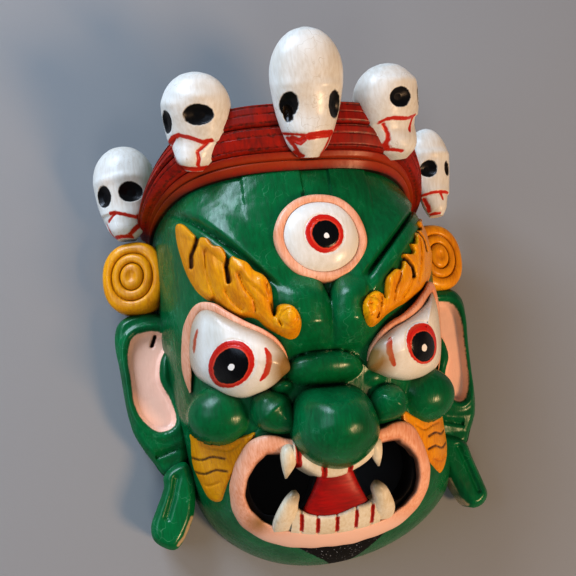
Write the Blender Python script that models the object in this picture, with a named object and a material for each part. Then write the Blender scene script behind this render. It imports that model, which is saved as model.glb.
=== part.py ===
"""Carved and painted wooden mask of a wrathful protector with a crown of five skulls.

The mask lies on its back. +X is the viewer's right, +Y runs towards the crown and +Z comes out
of the face. It is carved from one block, so it is one solid: a hollow shell with a flat rim
behind, and with the mouth cut through on both sides of the tongue.
"""

import math

import bmesh
import bpy
import numpy as np
from mathutils import Matrix

# Driving sizes in metres.
HEIGHT = 0.330            # chin to the top of the middle skull
FACE_WALL = 0.017         # wood left in front of the hollow
RIM_WALL = 0.014          # width of the flat rim at the back
GROOVE_WIDTH = 0.0040     # each groove that runs along the crown band
GROOVE_DEPTH = 0.0022
TOOTH_GAP_DEPTH = 0.0016  # cuts between the teeth
LIP_THICKNESS = 0.0110    # round of wood that rings the mouth
EAR_THICKNESS = 0.0200
EAR_LIFT = 0.0080         # the ears and pendants start this far off the ground
CARVING_STEP = 0.0014     # finest step that the carved surface keeps
FACES = 9300              # triangles of the finished solid before the rim is cut flat

# The face, skulls and ornaments are laid out in units, of which the height has this many.
# The units count from a point between the eyes, on the ground. The middle of the ground outline
# lies at CENTRE from there.
UNITS_TALL = 30.8
U = HEIGHT / UNITS_TALL
CENTRE = (-0.51, 3.58)

# The crown's grooves run at these shares of the band's height.
GROOVES = (0.24, 0.50, 0.76)

# Head, in units: the outline behind and the profile on the middle line.
CHIN_TIP = -11.85
CHIN_BEND = -5.0
TOP_BEND = 8.5
HEAD_TOP = 15.3
HALF_WIDTH = ((-12.0, 8.4), (-5.0, 8.4), (0.0, 9.3), (6.0, 9.7), (16.0, 9.5))
MID_DEPTH = ((-12.0, 6.4), (-10.0, 6.9), (-7.5, 7.7), (-4.0, 8.7), (0.0, 9.9),
             (4.0, 10.9), (8.0, 11.3), (12.0, 10.9), (16.0, 10.4))
DOME_POWER = 3.0
DOME_ROUND = 1.7
RIGHT_TEMPLE = 1.5        # the block is this much narrower at the top on the right
TEMPLE_BEND = 7.0         # and starts to narrow here
TEMPLE_LONG = 5.0
RIGHT_JAW = 1.6           # the jaw is this much wider on the right
JAW_BEND = -1.0           # and starts to widen here
JAW_LONG = 7.0

# Crown band, in units: its edges over the middle of the forehead, how far each drops at the ends,
# and how proud it stands.
CROWN_LOW, CROWN_LOW_DROP = 11.6, 0.9
CROWN_HIGH, CROWN_HIGH_DROP = 15.5, 4.0
CROWN_TALL, CROWN_RISE = 11.0, 0.09
CROWN_PROUD, CROWN_FOOT = 0.75, 0.2


def through(value, points):
    """Smooth curve through a few points: a cubic between neighbours, slopes from both sides."""
    p = np.array(points, float)
    px, py = p[:, 0], p[:, 1]
    slope = np.gradient(py, px)
    v = np.clip(np.asarray(value, float), px[0], px[-1])
    i = np.clip(np.searchsorted(px, v) - 1, 0, len(px) - 2)
    h = px[i + 1] - px[i]
    t = (v - px[i]) / h
    return ((2 * t**3 - 3 * t**2 + 1) * py[i] + (t**3 - 2 * t**2 + t) * h * slope[i]
            + (3 * t**2 - 2 * t**3) * py[i + 1] + (t**3 - t**2) * h * slope[i + 1])


def loop_through(points, count):
    """Closed smooth outline through a few points, read at even steps between them."""
    p = np.array(points, float)
    n = len(p)
    s = np.arange(count) * n / count
    i = s.astype(int)
    t = (s - i)[:, None]
    a, b, c, d = p[(i - 1) % n], p[i % n], p[(i + 1) % n], p[(i + 2) % n]
    return 0.5 * (2 * b + (c - a) * t + (2 * a - 5 * b + 4 * c - d) * t**2
                  + (3 * b - a - 3 * c + d) * t**3)


def ends(y):
    """How far the outline has closed towards the chin and towards the top, 0 to 1 each."""
    low = np.clip((CHIN_BEND - y) / (CHIN_BEND - CHIN_TIP), 0, 1)
    high = np.clip((y - TOP_BEND) / (HEAD_TOP - TOP_BEND), 0, 1)
    return low**2, high**6


def half_width(x, y):
    """Distance from the middle line to the outline: less at the top right, more at the jaw."""
    narrow = RIGHT_TEMPLE * np.clip((y - TEMPLE_BEND) / TEMPLE_LONG, 0, 1)
    broad = RIGHT_JAW * np.clip((JAW_BEND - y) / JAW_LONG, 0, 1)
    return through(y, HALF_WIDTH) + np.where(np.asarray(x) > 0, broad - narrow, 0)


def dome(x, y):
    """Height of the plain head over the ground: middle profile times a rounded arch across."""
    low, high = ends(y)
    rho = np.sqrt((x / half_width(x, y)) ** 2 + low + high)
    arch = (1 - np.clip(rho, 0, 1) ** DOME_POWER) ** (1 / DOME_ROUND)
    return through(y, MID_DEPTH) * arch


def bump(x, y, centre, radii, turn=0.0):
    """1 on top of an oval and 0 at its edge, round like a ball."""
    c, s = math.cos(turn), math.sin(turn)
    dx, dy = x - centre[0], y - centre[1]
    a = (c * dx + s * dy) / radii[0]
    b = (-s * dx + c * dy) / radii[1]
    return np.sqrt(np.clip(1 - a**2 - b**2, 0, 1))


def soft_max(a, b, blend):
    """The higher of two surfaces, with the crease between them filled by a small round."""
    h = np.clip(0.5 + 0.5 * (a - b) / blend, 0, 1)
    return b + (a - b) * h + blend * h * (1 - h)


def face_height(x, y):
    """Carved face: the plain head with brow ridges, frown, bridge roll and cheek balls on it."""
    side = np.abs(x)
    z = dome(x, y)
    along = np.clip(((side - 2.3) * 5.5 + (y - 2.6) * 6.8) / 76.5, 0, 1)
    off = np.hypot(side - (2.3 + 5.5 * along), y - (2.6 + 6.8 * along))
    z = z + 1.0 * np.exp(-((off / 1.5) ** 2)) * (1 - 0.5 * along)
    hump = bump(side, y, (1.3, 2.5), (1.5, 3.0)) * (1 - 0.45 * np.clip((y - 2.6) / 2.6, 0, 1))
    z = np.where(hump > 0, soft_max(dome(0, y) + 0.1 + 1.7 * hump, z, 0.3), z)
    roll = dome(0, y) - 0.2 + 1.5 * bump(x, y, (0, 0.0), (2.6, 1.05))
    z = np.where(bump(x, y, (0, 0.0), (2.6, 1.05)) > 0, soft_max(roll, z, 0.2), z)
    ball = bump(side, y, (6.1, -1.9), (2.1, 1.75))
    z = np.where(ball > 0, soft_max(7.0 + 2.0 * ball, z, 0.25), z)
    return z


def solid(name, points, faces):
    """Object with one closed mesh, its points given in units."""
    mesh = bpy.data.meshes.new(name)
    mesh.from_pydata((np.asarray(points) * U).tolist(), [], faces)
    bm = bmesh.new()
    bm.from_mesh(mesh)
    bmesh.ops.remove_doubles(bm, verts=bm.verts, dist=1e-6)
    bmesh.ops.dissolve_degenerate(bm, edges=bm.edges, dist=1e-7)
    bmesh.ops.recalc_face_normals(bm, faces=bm.faces)
    bm.to_mesh(mesh)
    bm.free()
    piece = bpy.data.objects.new(name, mesh)
    bpy.context.collection.objects.link(piece)
    return piece


def rings_solid(name, rings):
    """Closed solid through rings of points, with both end rings filled by a fan."""
    rings = np.asarray(rings, float)
    rows, cols = rings.shape[:2]
    points = rings.reshape(-1, 3)
    faces = []
    for r in range(rows - 1):
        for c in range(cols):
            d = (c + 1) % cols
            faces.append((r * cols + c, r * cols + d, (r + 1) * cols + d, (r + 1) * cols + c))
    ends = np.array([rings[0].mean(axis=0), rings[-1].mean(axis=0)])
    points = np.vstack([points, ends])
    for c in range(cols):
        d = (c + 1) % cols
        faces.append((rows * cols, d, c))
        faces.append((rows * cols + 1, (rows - 1) * cols + c, (rows - 1) * cols + d))
    return solid(name, points, faces)


def patch_rings(outline, centre, top, floor, steps=7):
    """Rings of a raised patch: from under its centre, out to its edge, then over its top.

    top(x, y, share) gives the height at a share of the way out, 0 in the centre and 1 at the edge.
    """
    outline = np.asarray(outline, float)
    centre = np.asarray(centre, float)
    rings = []
    for share in (0.05, 1.0):
        flat = centre + (outline - centre) * share
        low = np.minimum(top(flat[:, 0], flat[:, 1], 1.0) - 0.2, floor(flat[:, 0], flat[:, 1]))
        rings.append(np.column_stack([flat, low]))
    for share in np.sin(np.linspace(math.pi / 2, 0.05, steps)):
        flat = centre + (outline - centre) * share
        rings.append(np.column_stack([flat, top(flat[:, 0], flat[:, 1], share)]))
    return rings


def oval(centre, radii, count=28, turn=0.0):
    """Points round an oval."""
    a = np.arange(count) * 2 * math.pi / count
    x, y = radii[0] * np.cos(a), radii[1] * np.sin(a)
    c, s = math.cos(turn), math.sin(turn)
    return np.column_stack([centre[0] + c * x - s * y, centre[1] + s * x + c * y])


def mirrored(side, points):
    """Points for the right side as they are, and for the left side with x turned round."""
    return np.asarray(points, float) * np.array([side] + [1] * (np.shape(points)[-1] - 1))


# Head: a dome over a grid, and the hollow cut out of its back.
def grid_dome(name, inset, wall, cells, floor):
    """Closed dome over a round grid, inset from the head's outline and lowered by a wall."""
    a = np.linspace(-1, 1, cells)
    a, b = np.meshgrid(a, a)
    p, q = a * np.sqrt(1 - b**2 / 2), b * np.sqrt(1 - a**2 / 2)
    r = np.hypot(p, q)
    press = np.where(r > 0, (1 - (1 - r) ** 1.5) / np.maximum(r, 1e-9), 1)
    p, q = p * press, q * press
    half = (HEAD_TOP - CHIN_TIP) / 2 - inset
    y = (HEAD_TOP + CHIN_TIP) / 2 + q * half
    full = (HEAD_TOP + CHIN_TIP) / 2 + q * (HEAD_TOP - CHIN_TIP) / 2
    low, high = ends(full)
    reach = np.sqrt(np.clip(1 - low - high, 1e-6, 1)) / np.sqrt(np.clip(1 - q**2, 1e-6, 1))
    x = p * (half_width(p, full) - inset) * reach
    full_x = p * half_width(p, full) * reach
    if wall:
        z = np.maximum(dome(full_x, full) - wall, floor)
    else:
        z = face_height(x, y)
    z[[0, -1], :] = floor
    z[:, [0, -1]] = floor
    top = np.stack([x, y, z], -1).reshape(-1, 3)
    n = cells
    i = np.arange(n * n).reshape(n, n)
    quads = np.stack([i[:-1, :-1], i[:-1, 1:], i[1:, 1:], i[1:, :-1]], -1).reshape(-1, 4).tolist()
    edge = np.concatenate([i[0, :-1], i[:-1, -1], i[-1, :0:-1], i[:0:-1, 0]])
    under = len(top)
    points = np.vstack([top, [[0, 2, floor]]])
    fans = [(int(edge[(k + 1) % len(edge)]), int(edge[k]), under) for k in range(len(edge))]
    return solid(name, points, quads + fans)


def hollow_head():
    """The head with its hollow and the two mouth holes cut out."""
    head = grid_dome("head", 0.0, 0.0, 90, -0.6)
    hollow = grid_dome("hollow", RIM_WALL / U, FACE_WALL / U, 34, -1.5)
    cut(head, hollow)
    for side in (-1, 1):
        outline = mirrored(side, loop_through(MOUTH_HOLE, 28))
        rings = [np.column_stack([outline, np.full(28, z)]) for z in (-2.0, 14.0)]
        cut(head, rings_solid("mouth_hole", rings))
    return head


# Each mouth hole lies between the tongue and the corner of the lips.
MOUTH_HOLE = ((1.2, -5.0), (2.4, -4.2), (3.9, -4.1), (4.8, -5.2), (4.9, -6.6), (4.2, -7.8),
              (3.1, -8.0), (1.9, -7.6), (1.3, -6.4))


def cut(target, cutter):
    """Take the cutter out of the target and remove it."""
    combine(target, cutter, "DIFFERENCE")


def combine(target, other, operation):
    """Apply one exact Boolean of a closed solid to another."""
    modifier = target.modifiers.new("carve", "BOOLEAN")
    modifier.operation = operation
    modifier.solver = "EXACT"
    modifier.object = other
    apply_modifiers(target)
    bpy.data.objects.remove(other)


def apply_modifiers(piece):
    """Replace the piece's mesh by what its modifiers give."""
    graph = bpy.context.evaluated_depsgraph_get()
    mesh = bpy.data.meshes.new_from_object(piece.evaluated_get(graph))
    piece.modifiers.clear()
    piece.data = mesh


# Nose: a drooping bulb that narrows to a tip over the teeth, and a wing on each side.
def nose():
    outline = loop_through([(0, -0.6), (1.3, -1.0), (2.2, -2.2), (2.6, -3.5), (2.0, -4.8),
                            (0.9, -5.6), (0, -5.85), (-0.9, -5.6), (-2.0, -4.8), (-2.6, -3.5),
                            (-2.2, -2.2), (-1.3, -1.0)], 36)

    def top(x, y, share):
        crest = 10.2 + 2.5 * np.sqrt(np.clip(1 - ((y + 3.6) / 3.3) ** 2, 0, 1))
        return 8.9 + (crest - 8.9) * math.sqrt(max(1 - share**2, 0))

    def floor(x, y):
        return np.full(np.shape(x), 7.9)
    return rings_solid("nose", patch_rings(outline, (0, -3.3), top, floor, 10))


def ball(name, centre, radii, turn=0.0, rows=10, cols=18):
    """Egg-shaped solid, turned about the line of sight."""
    lat = np.linspace(-0.5 * math.pi, 0.5 * math.pi, rows + 2)[1:-1]
    rings = []
    for v in lat:
        flat = oval(centre[:2], (radii[0] * math.cos(v), radii[1] * math.cos(v)), cols, turn)
        rings.append(np.column_stack([flat, np.full(cols, centre[2] + radii[2] * math.sin(v))]))
    return rings_solid(name, rings)


def nose_wings():
    return [ball("wing", (side * 3.35, -2.05, 8.75), (1.3, 1.35, 1.25), side * 0.3)
            for side in (-1, 1)]


# Third eye: a low round boss with a raised rim and a bulging ball in it.
def third_eye():
    def top(x, y, share):
        rim = 0.65 * min(1.0, (1 - share) / 0.06)
        bulge = 0.55 * math.sqrt(max(1 - (share / 0.78) ** 2, 0)) if share < 0.78 else 0.0
        return dome(x, y) + rim + bulge

    def floor(x, y):
        return dome(x, y) - 1.0
    outline = oval((0.1, 7.1), (2.75, 2.5), 36)
    return rings_solid("third_eye", patch_rings(outline, (0.1, 7.1), top, floor, 10))


# Eyes: bulging almonds with a thick upper lid that rises to a point at the temple.
LID = ((2.2, -0.2), (3.3, 1.7), (4.8, 3.0), (6.3, 4.1), (7.3, 4.5), (7.9, 3.6), (8.2, 1.8),
       (8.0, 0.0), (7.0, -0.9), (5.3, -1.3), (3.7, -1.1))
EYE_CENTRE = (5.5, 0.9)


def eyes():
    def floor(x, y):
        return dome(x, y) - 1.0
    pieces = []
    for side in (-1, 1):
        def top(x, y, share):
            lid = 0.75 * min(1.0, (1 - share) / 0.05)
            ball_in = 1.7 * math.sqrt(max(1 - (share / 0.9) ** 2, 0)) if share < 0.9 else 0.0
            return dome(x, y) + lid + ball_in
        outline = mirrored(side, loop_through(LID, 40))
        centre = mirrored(side, EYE_CENTRE)
        pieces.append(rings_solid("eye", patch_rings(outline, centre, top, floor, 12)))
    return pieces


# Brows: flame-shaped leaves that end in a curl beside the frown.
BROW_SPINE = ((2.3, 2.4), (3.3, 3.3), (4.5, 4.8), (5.6, 6.2), (6.7, 7.6), (7.5, 8.7), (7.9, 9.6))
BROW_HALF = ((0.0, 0.75), (0.14, 0.72), (0.3, 1.05), (0.5, 1.45), (0.7, 1.3), (0.88, 0.85),
             (1.0, 0.15))
FLAMES = 4


def brows():
    steps = 34
    t = np.linspace(0, 1, steps)
    knots = np.linspace(0, 1, len(BROW_SPINE))
    pieces = []
    for side in (-1, 1):
        spine = np.array(BROW_SPINE)
        x = through(t, np.column_stack([knots, spine[:, 0]]))
        y = through(t, np.column_stack([knots, spine[:, 1]]))
        run = np.column_stack([np.gradient(x), np.gradient(y)])
        run /= np.linalg.norm(run, axis=1)[:, None]
        across = np.column_stack([-run[:, 1], run[:, 0]])
        half = through(t, BROW_HALF)
        flame = np.where(t > 0.25, 0.34 * ((t - 0.25) / 0.75 * FLAMES % 1.0), 0.0)
        rings = []
        for k in range(steps):
            inner = half[k] * (1 - flame[k])
            ring = []
            for a in np.arange(14) * 2 * math.pi / 14:
                reach = inner if math.cos(a) > 0 else half[k]
                px = x[k] + across[k, 0] * math.cos(a) * reach
                py = y[k] + across[k, 1] * math.cos(a) * reach
                lift = 0.62 * abs(math.sin(a)) ** 0.6 * min(1.0, half[k] / 0.6)
                z = face_height(px, py)
                ring.append((px, py, z + lift if math.sin(a) > 0 else z - 0.8))
            rings.append(mirrored(side, ring))
        pieces.append(rings_solid("brow", rings))
        curl = (2.35, 2.45)
        z = float(face_height(curl[0], curl[1]))
        pieces.append(ball("curl", (side * curl[0], curl[1], z + 0.1), (0.85, 0.85, 0.8)))
    return pieces


# Mouth: a lip all round, teeth above and below, four fangs and the tongue between them.
LIP = ((0, -4.3), (2.4, -4.2), (4.1, -4.0), (5.2, -5.1), (5.6, -6.6), (5.15, -8.0), (3.7, -9.15),
       (1.7, -9.65), (0, -9.75), (-1.7, -9.65), (-3.7, -9.15), (-5.15, -8.0), (-5.6, -6.6),
       (-5.2, -5.1), (-4.1, -4.0), (-2.4, -4.2))


def tube(name, path, radius, closed):
    """Round solid carried along a path, its rings standing square to the path."""
    path = np.asarray(path, float)
    ahead = np.roll(path, -1, axis=0) - np.roll(path, 1, axis=0)
    if not closed:
        ahead[0] = path[1] - path[0]
        ahead[-1] = path[-1] - path[-2]
    ahead /= np.linalg.norm(ahead, axis=1)[:, None]
    side = np.cross(ahead, (0, 0, 1))
    side /= np.linalg.norm(side, axis=1)[:, None]
    up = np.cross(side, ahead)
    a = np.arange(12) * 2 * math.pi / 12
    radius = np.broadcast_to(radius, len(path))
    rings = (path[:, None] + radius[:, None, None] * (np.cos(a)[None, :, None] * side[:, None]
                                                      + np.sin(a)[None, :, None] * up[:, None]))
    if not closed:
        return rings_solid(name, rings)
    rows, cols = rings.shape[:2]
    faces = []
    for r in range(rows):
        for c in range(cols):
            s, d = (r + 1) % rows, (c + 1) % cols
            faces.append((r * cols + c, r * cols + d, s * cols + d, s * cols + c))
    return solid(name, rings.reshape(-1, 3), faces)


def lips():
    flat = loop_through(LIP, 72)
    z = dome(flat[:, 0], flat[:, 1]) + 0.25
    return tube("lips", np.column_stack([flat, z]), LIP_THICKNESS / 2 / U, True)


def tooth_row(name, left, right, low, high, gaps, lift):
    """Curved row of teeth with cuts between them, on the surface of the muzzle."""
    cols = 40
    x = np.linspace(left, right, cols)
    depth = np.zeros(cols)
    for gap in gaps:
        depth += TOOTH_GAP_DEPTH / U * np.exp(-(((x - gap) / 0.12) ** 2))
    rows = []
    for y, out in ((low, -1.2), (low, 0.6), (low + 0.25 * (high - low), 1.0),
                   (high - 0.25 * (high - low), 1.0), (high, 0.6), (high, -1.2)):
        z = dome(x, np.full(cols, y)) + (lift * out if out > 0 else out) - depth * (out > 0)
        rows.append(np.column_stack([x, np.full(cols, y), z]))
    rings = np.transpose(np.array(rows), (1, 0, 2))
    return rings_solid(name, rings)


def fang(name, side, root, tip, lift):
    """Bent cone from its root to its tip, standing proud of the lips."""
    t = np.linspace(0, 1, 9)
    x = root[0] + (tip[0] - root[0]) * t
    y = root[1] + (tip[1] - root[1]) * t
    z = dome(x, y) + 0.15 + lift * np.sin(math.pi * (0.25 + 0.6 * t))
    radius = 0.78 * (1 - t**1.6) + 0.12
    return tube(name, mirrored(side, np.column_stack([x, y, z])), radius, False)


def tongue():
    t = np.linspace(0, 1, 12)
    rings = []
    for k in t:
        y = -5.6 - 2.7 * k
        half = 1.15 + 0.95 * k
        a = np.arange(16) * 2 * math.pi / 16
        x = half * np.cos(a)
        z = dome(x, np.full(16, y)) + np.where(np.sin(a) > 0, 0.45 * np.sin(a), 1.1 * np.sin(a))
        rings.append(np.column_stack([x, np.full(16, y), z]))
    return rings_solid("tongue", rings)


def mouth():
    pieces = [lips(), tongue(),
              tooth_row("upper_teeth", -2.3, 2.3, -6.05, -4.4, (-2.0, -0.7, 0.7, 2.0), 0.9),
              tooth_row("lower_teeth", -2.6, 2.6, -9.1, -7.85, (-2.0, -1.2, -0.4, 0.4, 1.2, 2.0),
                        0.7)]
    for side in (-1, 1):
        pieces.append(fang("upper_fang", side, (2.75, -3.9), (2.75, -5.9), 0.9))
        pieces.append(fang("lower_fang", side, (3.1, -9.0), (2.65, -6.7), 0.6))
    return pieces


# Ears: thick slabs with a raised rim round a sunk hollow.
EAR = {
    -1: ((8.7, 5.4), (10.2, 5.75), (11.6, 5.35), (12.3, 4.2), (12.5, 2.7), (12.2, 0.4),
         (11.7, -2.1), (11.1, -3.7), (10.3, -5.0), (8.4, -5.2), (8.2, -2.0), (8.6, 2.0)),
    1: ((8.5, 5.3), (9.5, 5.8), (10.5, 5.72), (11.3, 5.4), (11.75, 4.6), (11.75, 3.3), (11.6, 1.8),
        (11.5, -0.3), (11.5, -2.0), (11.3, -3.2), (10.85, -4.4), (10.3, -5.2), (8.6, -5.2),
        (8.2, -2.0), (8.4, 2.0)),
}
EAR_BOWL = ((10.2, 4.1), (10.9, 3.8), (11.25, 2.6), (11.2, 0.4), (10.9, -1.5), (10.2, -2.3),
            (9.4, -1.9), (9.6, -0.3), (9.9, 1.2), (9.5, 2.2), (9.2, 3.4))
PENDANT = ((8.6, -4.4), (10.3, -4.6), (10.35, -5.6), (10.8, -7.0), (11.2, -8.1), (10.9, -9.0),
           (10.1, -9.45), (9.2, -8.9), (8.5, -7.8), (8.1, -6.4))


def slab(name, side, outline, count, thickness, crown):
    """Flat-backed slab with a softly rounded front edge and a crowned front."""
    flat = mirrored(side, loop_through(outline, count))
    centre = flat.mean(axis=0)
    base = EAR_LIFT / U
    rings = []
    for share, z in ((0.05, base), (0.97, base), (1.0, base + 0.2), (1.0, base + thickness - 0.45),
                     (0.97, base + thickness - 0.2), (0.9, base + thickness),
                     (0.45, base + thickness + crown), (0.05, base + thickness + crown)):
        ring = centre + (flat - centre) * share
        rings.append(np.column_stack([ring, np.full(count, z)]))
    return rings_solid(name, rings)


def ears():
    pieces = []
    thickness = EAR_THICKNESS / U
    for side in (-1, 1):
        ear = slab("ear", side, EAR[side], 48, thickness, 0.0)
        flat = mirrored(side, loop_through(EAR_BOWL, 40))
        centre = flat.mean(axis=0)
        low = EAR_LIFT / U + thickness - 0.5
        rings = [np.column_stack([centre + (flat - centre) * k, np.full(40, z)])
                 for k, z in ((0.85, low), (1.0, low + 0.45), (1.05, low + 1.2))]
        cut(ear, rings_solid("bowl", rings))
        pieces.append(ear)
        pieces.append(slab("pendant", side, PENDANT, 40, thickness, 0.35))
    return pieces


# Ear discs: round studs above the ears, with two ring grooves.
DISC_X = {-1: 10.75, 1: 9.9}
DISC_LEAN = 0.28


def discs():
    pieces = []
    for side in (-1, 1):
        count = 32
        unit = oval((0, 0), (1, 1), count)
        rings = []
        for share, z in ((0.05, -0.9), (0.9, -0.9), (1.0, -0.4), (1.0, 0.75), (0.92, 1.1),
                         (0.72, 1.15), (0.66, 0.95), (0.6, 1.15), (0.44, 1.2), (0.38, 1.0),
                         (0.32, 1.2), (0.05, 1.3)):
            x = unit[:, 0] * share * 2.15
            y = unit[:, 1] * share * 2.5
            c, s = math.cos(DISC_LEAN), math.sin(DISC_LEAN)
            rings.append(np.column_stack([side * (DISC_X[side] + x * c + z * s), 7.85 + y,
                                          2.1 - x * s + z * c]))
        pieces.append(rings_solid("disc", rings))
    return pieces


# Crown band: a thick curved band across the head with three grooves along it.
def crown():
    cols, rows = 64, 26
    angle = np.linspace(0.03, math.pi - 0.03, cols)
    reach = np.cos(angle)
    share = np.linspace(0, 1, rows)
    rings = []
    for c in range(cols):
        low = CROWN_LOW - CROWN_LOW_DROP * abs(reach[c]) ** 6
        high = CROWN_HIGH - CROWN_HIGH_DROP * abs(reach[c]) ** 3
        y = low + (high - low) * share
        groove = np.zeros(rows)
        for at in GROOVES:
            off = (share - at) * (high - low) * U / (GROOVE_WIDTH / 2)
            groove += GROOVE_DEPTH / U * np.clip(1 - off**2, 0, 1)
        proud = CROWN_FOOT + (CROWN_PROUD - CROWN_FOOT) * np.clip(share / 0.6, 0, 1) - groove
        wide = half_width(reach[c], y) + proud
        tall = CROWN_TALL + CROWN_RISE * (y - CROWN_LOW) + proud
        x = wide * np.sign(reach[c]) * abs(reach[c]) ** (2 / DOME_POWER)
        # the foot of the band follows the forehead, and above it the band is squarer
        flat = 0.55 + 0.40 * np.clip(1 - share / 0.5, 0, 1) ** 1.5
        z = tall * math.sin(angle[c]) ** (2 / DOME_ROUND * flat)
        outer = np.column_stack([x, y, z])
        inner = np.array([(x[-1] * 0.86, y[-1], z[-1] * 0.86), (x[0] * 0.86, y[0], z[0] * 0.86)])
        rings.append(np.vstack([outer, inner]))
    return rings_solid("crown", rings)


# Skulls: long craniums that narrow to a jaw, leaning out from the crown.
SKULL_HALF_WIDTH = ((0.0, 0.6), (0.08, 1.12), (0.19, 1.48), (0.34, 1.84), (0.5, 2.06),
                    (0.62, 2.15), (0.8, 1.95), (0.93, 1.35), (1.0, 0.35))
SKULL_FRONT = ((0.0, 0.9), (0.08, 1.4), (0.2, 1.6), (0.33, 1.5), (0.45, 1.6), (0.62, 1.75),
               (0.8, 1.6), (0.93, 1.05), (1.0, 0.3))
SKULL_BACK = ((0.0, 0.6), (0.22, 1.0), (0.45, 1.6), (0.62, 2.1), (0.8, 2.0), (0.93, 1.2),
              (1.0, 0.3))
SKULLS = (
    # chin point, crown point, turn outward in degrees, width share
    ((-11.2, 10.6, 2.6), (-11.1, 17.0, 3.4), -14, 0.97),
    ((-6.5, 12.5, 9.6), (-6.2, 17.65, 12.1), -22, 0.97),
    ((0.0, 12.2, 11.5), (0.1, 18.9, 14.5), 0, 1.0),
    ((5.8, 12.6, 9.6), (5.2, 17.75, 12.2), 30, 1.0),
    ((9.9, 10.3, 4.4), (9.8, 16.5, 5.2), 20, 0.70),
)


def skull(number, chin, top, turn, width):
    """Rings round the line from chin to crown, wider behind the eyes than at the jaw."""
    chin, top = np.array(chin), np.array(top)
    up = top - chin
    length = np.linalg.norm(up)
    up /= length
    out = np.array([math.sin(math.radians(turn)), 0, math.cos(math.radians(turn))])
    out -= up * (out @ up)
    out /= np.linalg.norm(out)
    right = np.cross(up, out)
    cols = 24
    a = np.arange(cols) * 2 * math.pi / cols
    rings = []
    for t in 0.5 - 0.5 * np.cos(np.linspace(0.12, math.pi - 0.12, 20)):
        half = float(through(t, SKULL_HALF_WIDTH)) * width
        front = float(through(t, SKULL_FRONT)) * width
        back = float(through(t, SKULL_BACK)) * width
        across = half * np.cos(a)
        depth = np.where(np.sin(a) > 0, front, back) * np.sin(a)
        for eye in (-0.95, 0.95):
            near = ((across - eye) / 0.62) ** 2 + ((t - 0.47) * length / 0.8) ** 2
            depth -= np.where(np.sin(a) > 0, 0.42 * np.exp(-near), 0)
        nearest = ((t - 0.2) * length / 0.14) ** 2
        depth -= np.where((np.sin(a) > 0) & (np.abs(across) < 1.1), 0.2 * math.exp(-nearest), 0)
        rings.append(chin + up * (length * t) + right * across[:, None] + out * depth[:, None])
    return rings_solid("skull_%d" % number, rings)


def carved_mask():
    """All carved forms grown together into one skin, thinned out, and cut flat behind."""
    pieces = [hollow_head(), nose(), third_eye(), crown()]
    pieces += nose_wings() + eyes() + brows() + mouth() + ears() + discs()
    pieces += [skull(n + 1, *place) for n, place in enumerate(SKULLS)]
    joined = bmesh.new()
    for piece in pieces:
        joined.from_mesh(piece.data)
        bpy.data.objects.remove(piece)
    mesh = bpy.data.meshes.new("mask")
    joined.to_mesh(mesh)
    joined.free()
    mask = bpy.data.objects.new("mask", mesh)
    bpy.context.collection.objects.link(mask)
    skin = mask.modifiers.new("one_skin", "REMESH")
    skin.mode = "VOXEL"
    skin.voxel_size = CARVING_STEP
    skin.adaptivity = 0.0
    apply_modifiers(mask)
    thin = mask.modifiers.new("thin_out", "DECIMATE")
    thin.ratio = FACES / (2 * len(mask.data.polygons))
    thin.use_collapse_triangulate = True
    apply_modifiers(mask)
    cut_flat(mask)
    mask.data.transform(Matrix.Translation((-CENTRE[0] * U, -CENTRE[1] * U, 0)))
    return mask


def cut_flat(mask):
    """Saw the back off level, so that the rim is one flat face."""
    low = -0.5 * HEIGHT
    side = HEIGHT
    corners = [(x, y, z) for z in (low, 0.0) for y in (-side, side) for x in (-side, side)]
    faces = [(0, 2, 3, 1), (4, 5, 7, 6), (0, 1, 5, 4), (1, 3, 7, 5), (3, 2, 6, 7), (2, 0, 4, 6)]
    cut(mask, solid("saw", np.array(corners) / U, faces))
    bm = bmesh.new()
    bm.from_mesh(mask.data)
    bmesh.ops.remove_doubles(bm, verts=bm.verts, dist=2e-5)
    bmesh.ops.dissolve_degenerate(bm, edges=bm.edges, dist=1e-5)
    bmesh.ops.triangulate(bm, faces=bm.faces)
    bm.to_mesh(mask.data)
    bm.free()


def painted_wood():
    """Deep green gloss paint over carved wood."""
    paint = bpy.data.materials.new("green_enamel")
    paint.use_nodes = True
    shader = paint.node_tree.nodes["Principled BSDF"]
    shader.inputs["Base Color"].default_value = (0.006, 0.127, 0.055, 1)
    shader.inputs["Roughness"].default_value = 0.32
    shader.inputs["Metallic"].default_value = 0.0
    return paint


for old in list(bpy.data.objects):
    bpy.data.objects.remove(old)

mask = carved_mask()
mask.data.materials.clear()
mask.data.materials.append(painted_wood())
mask.data.shade_smooth()
mask.data.set_sharp_from_angle(angle=math.radians(50))
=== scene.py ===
"""Carved and painted wooden mask of a wrathful protector, lying on its back.

Every piece is worked out in units of which the mask's height has 30.8, counted from a point
between the eyes on the ground, and then put in its place in the frame.
"""

import math

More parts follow.
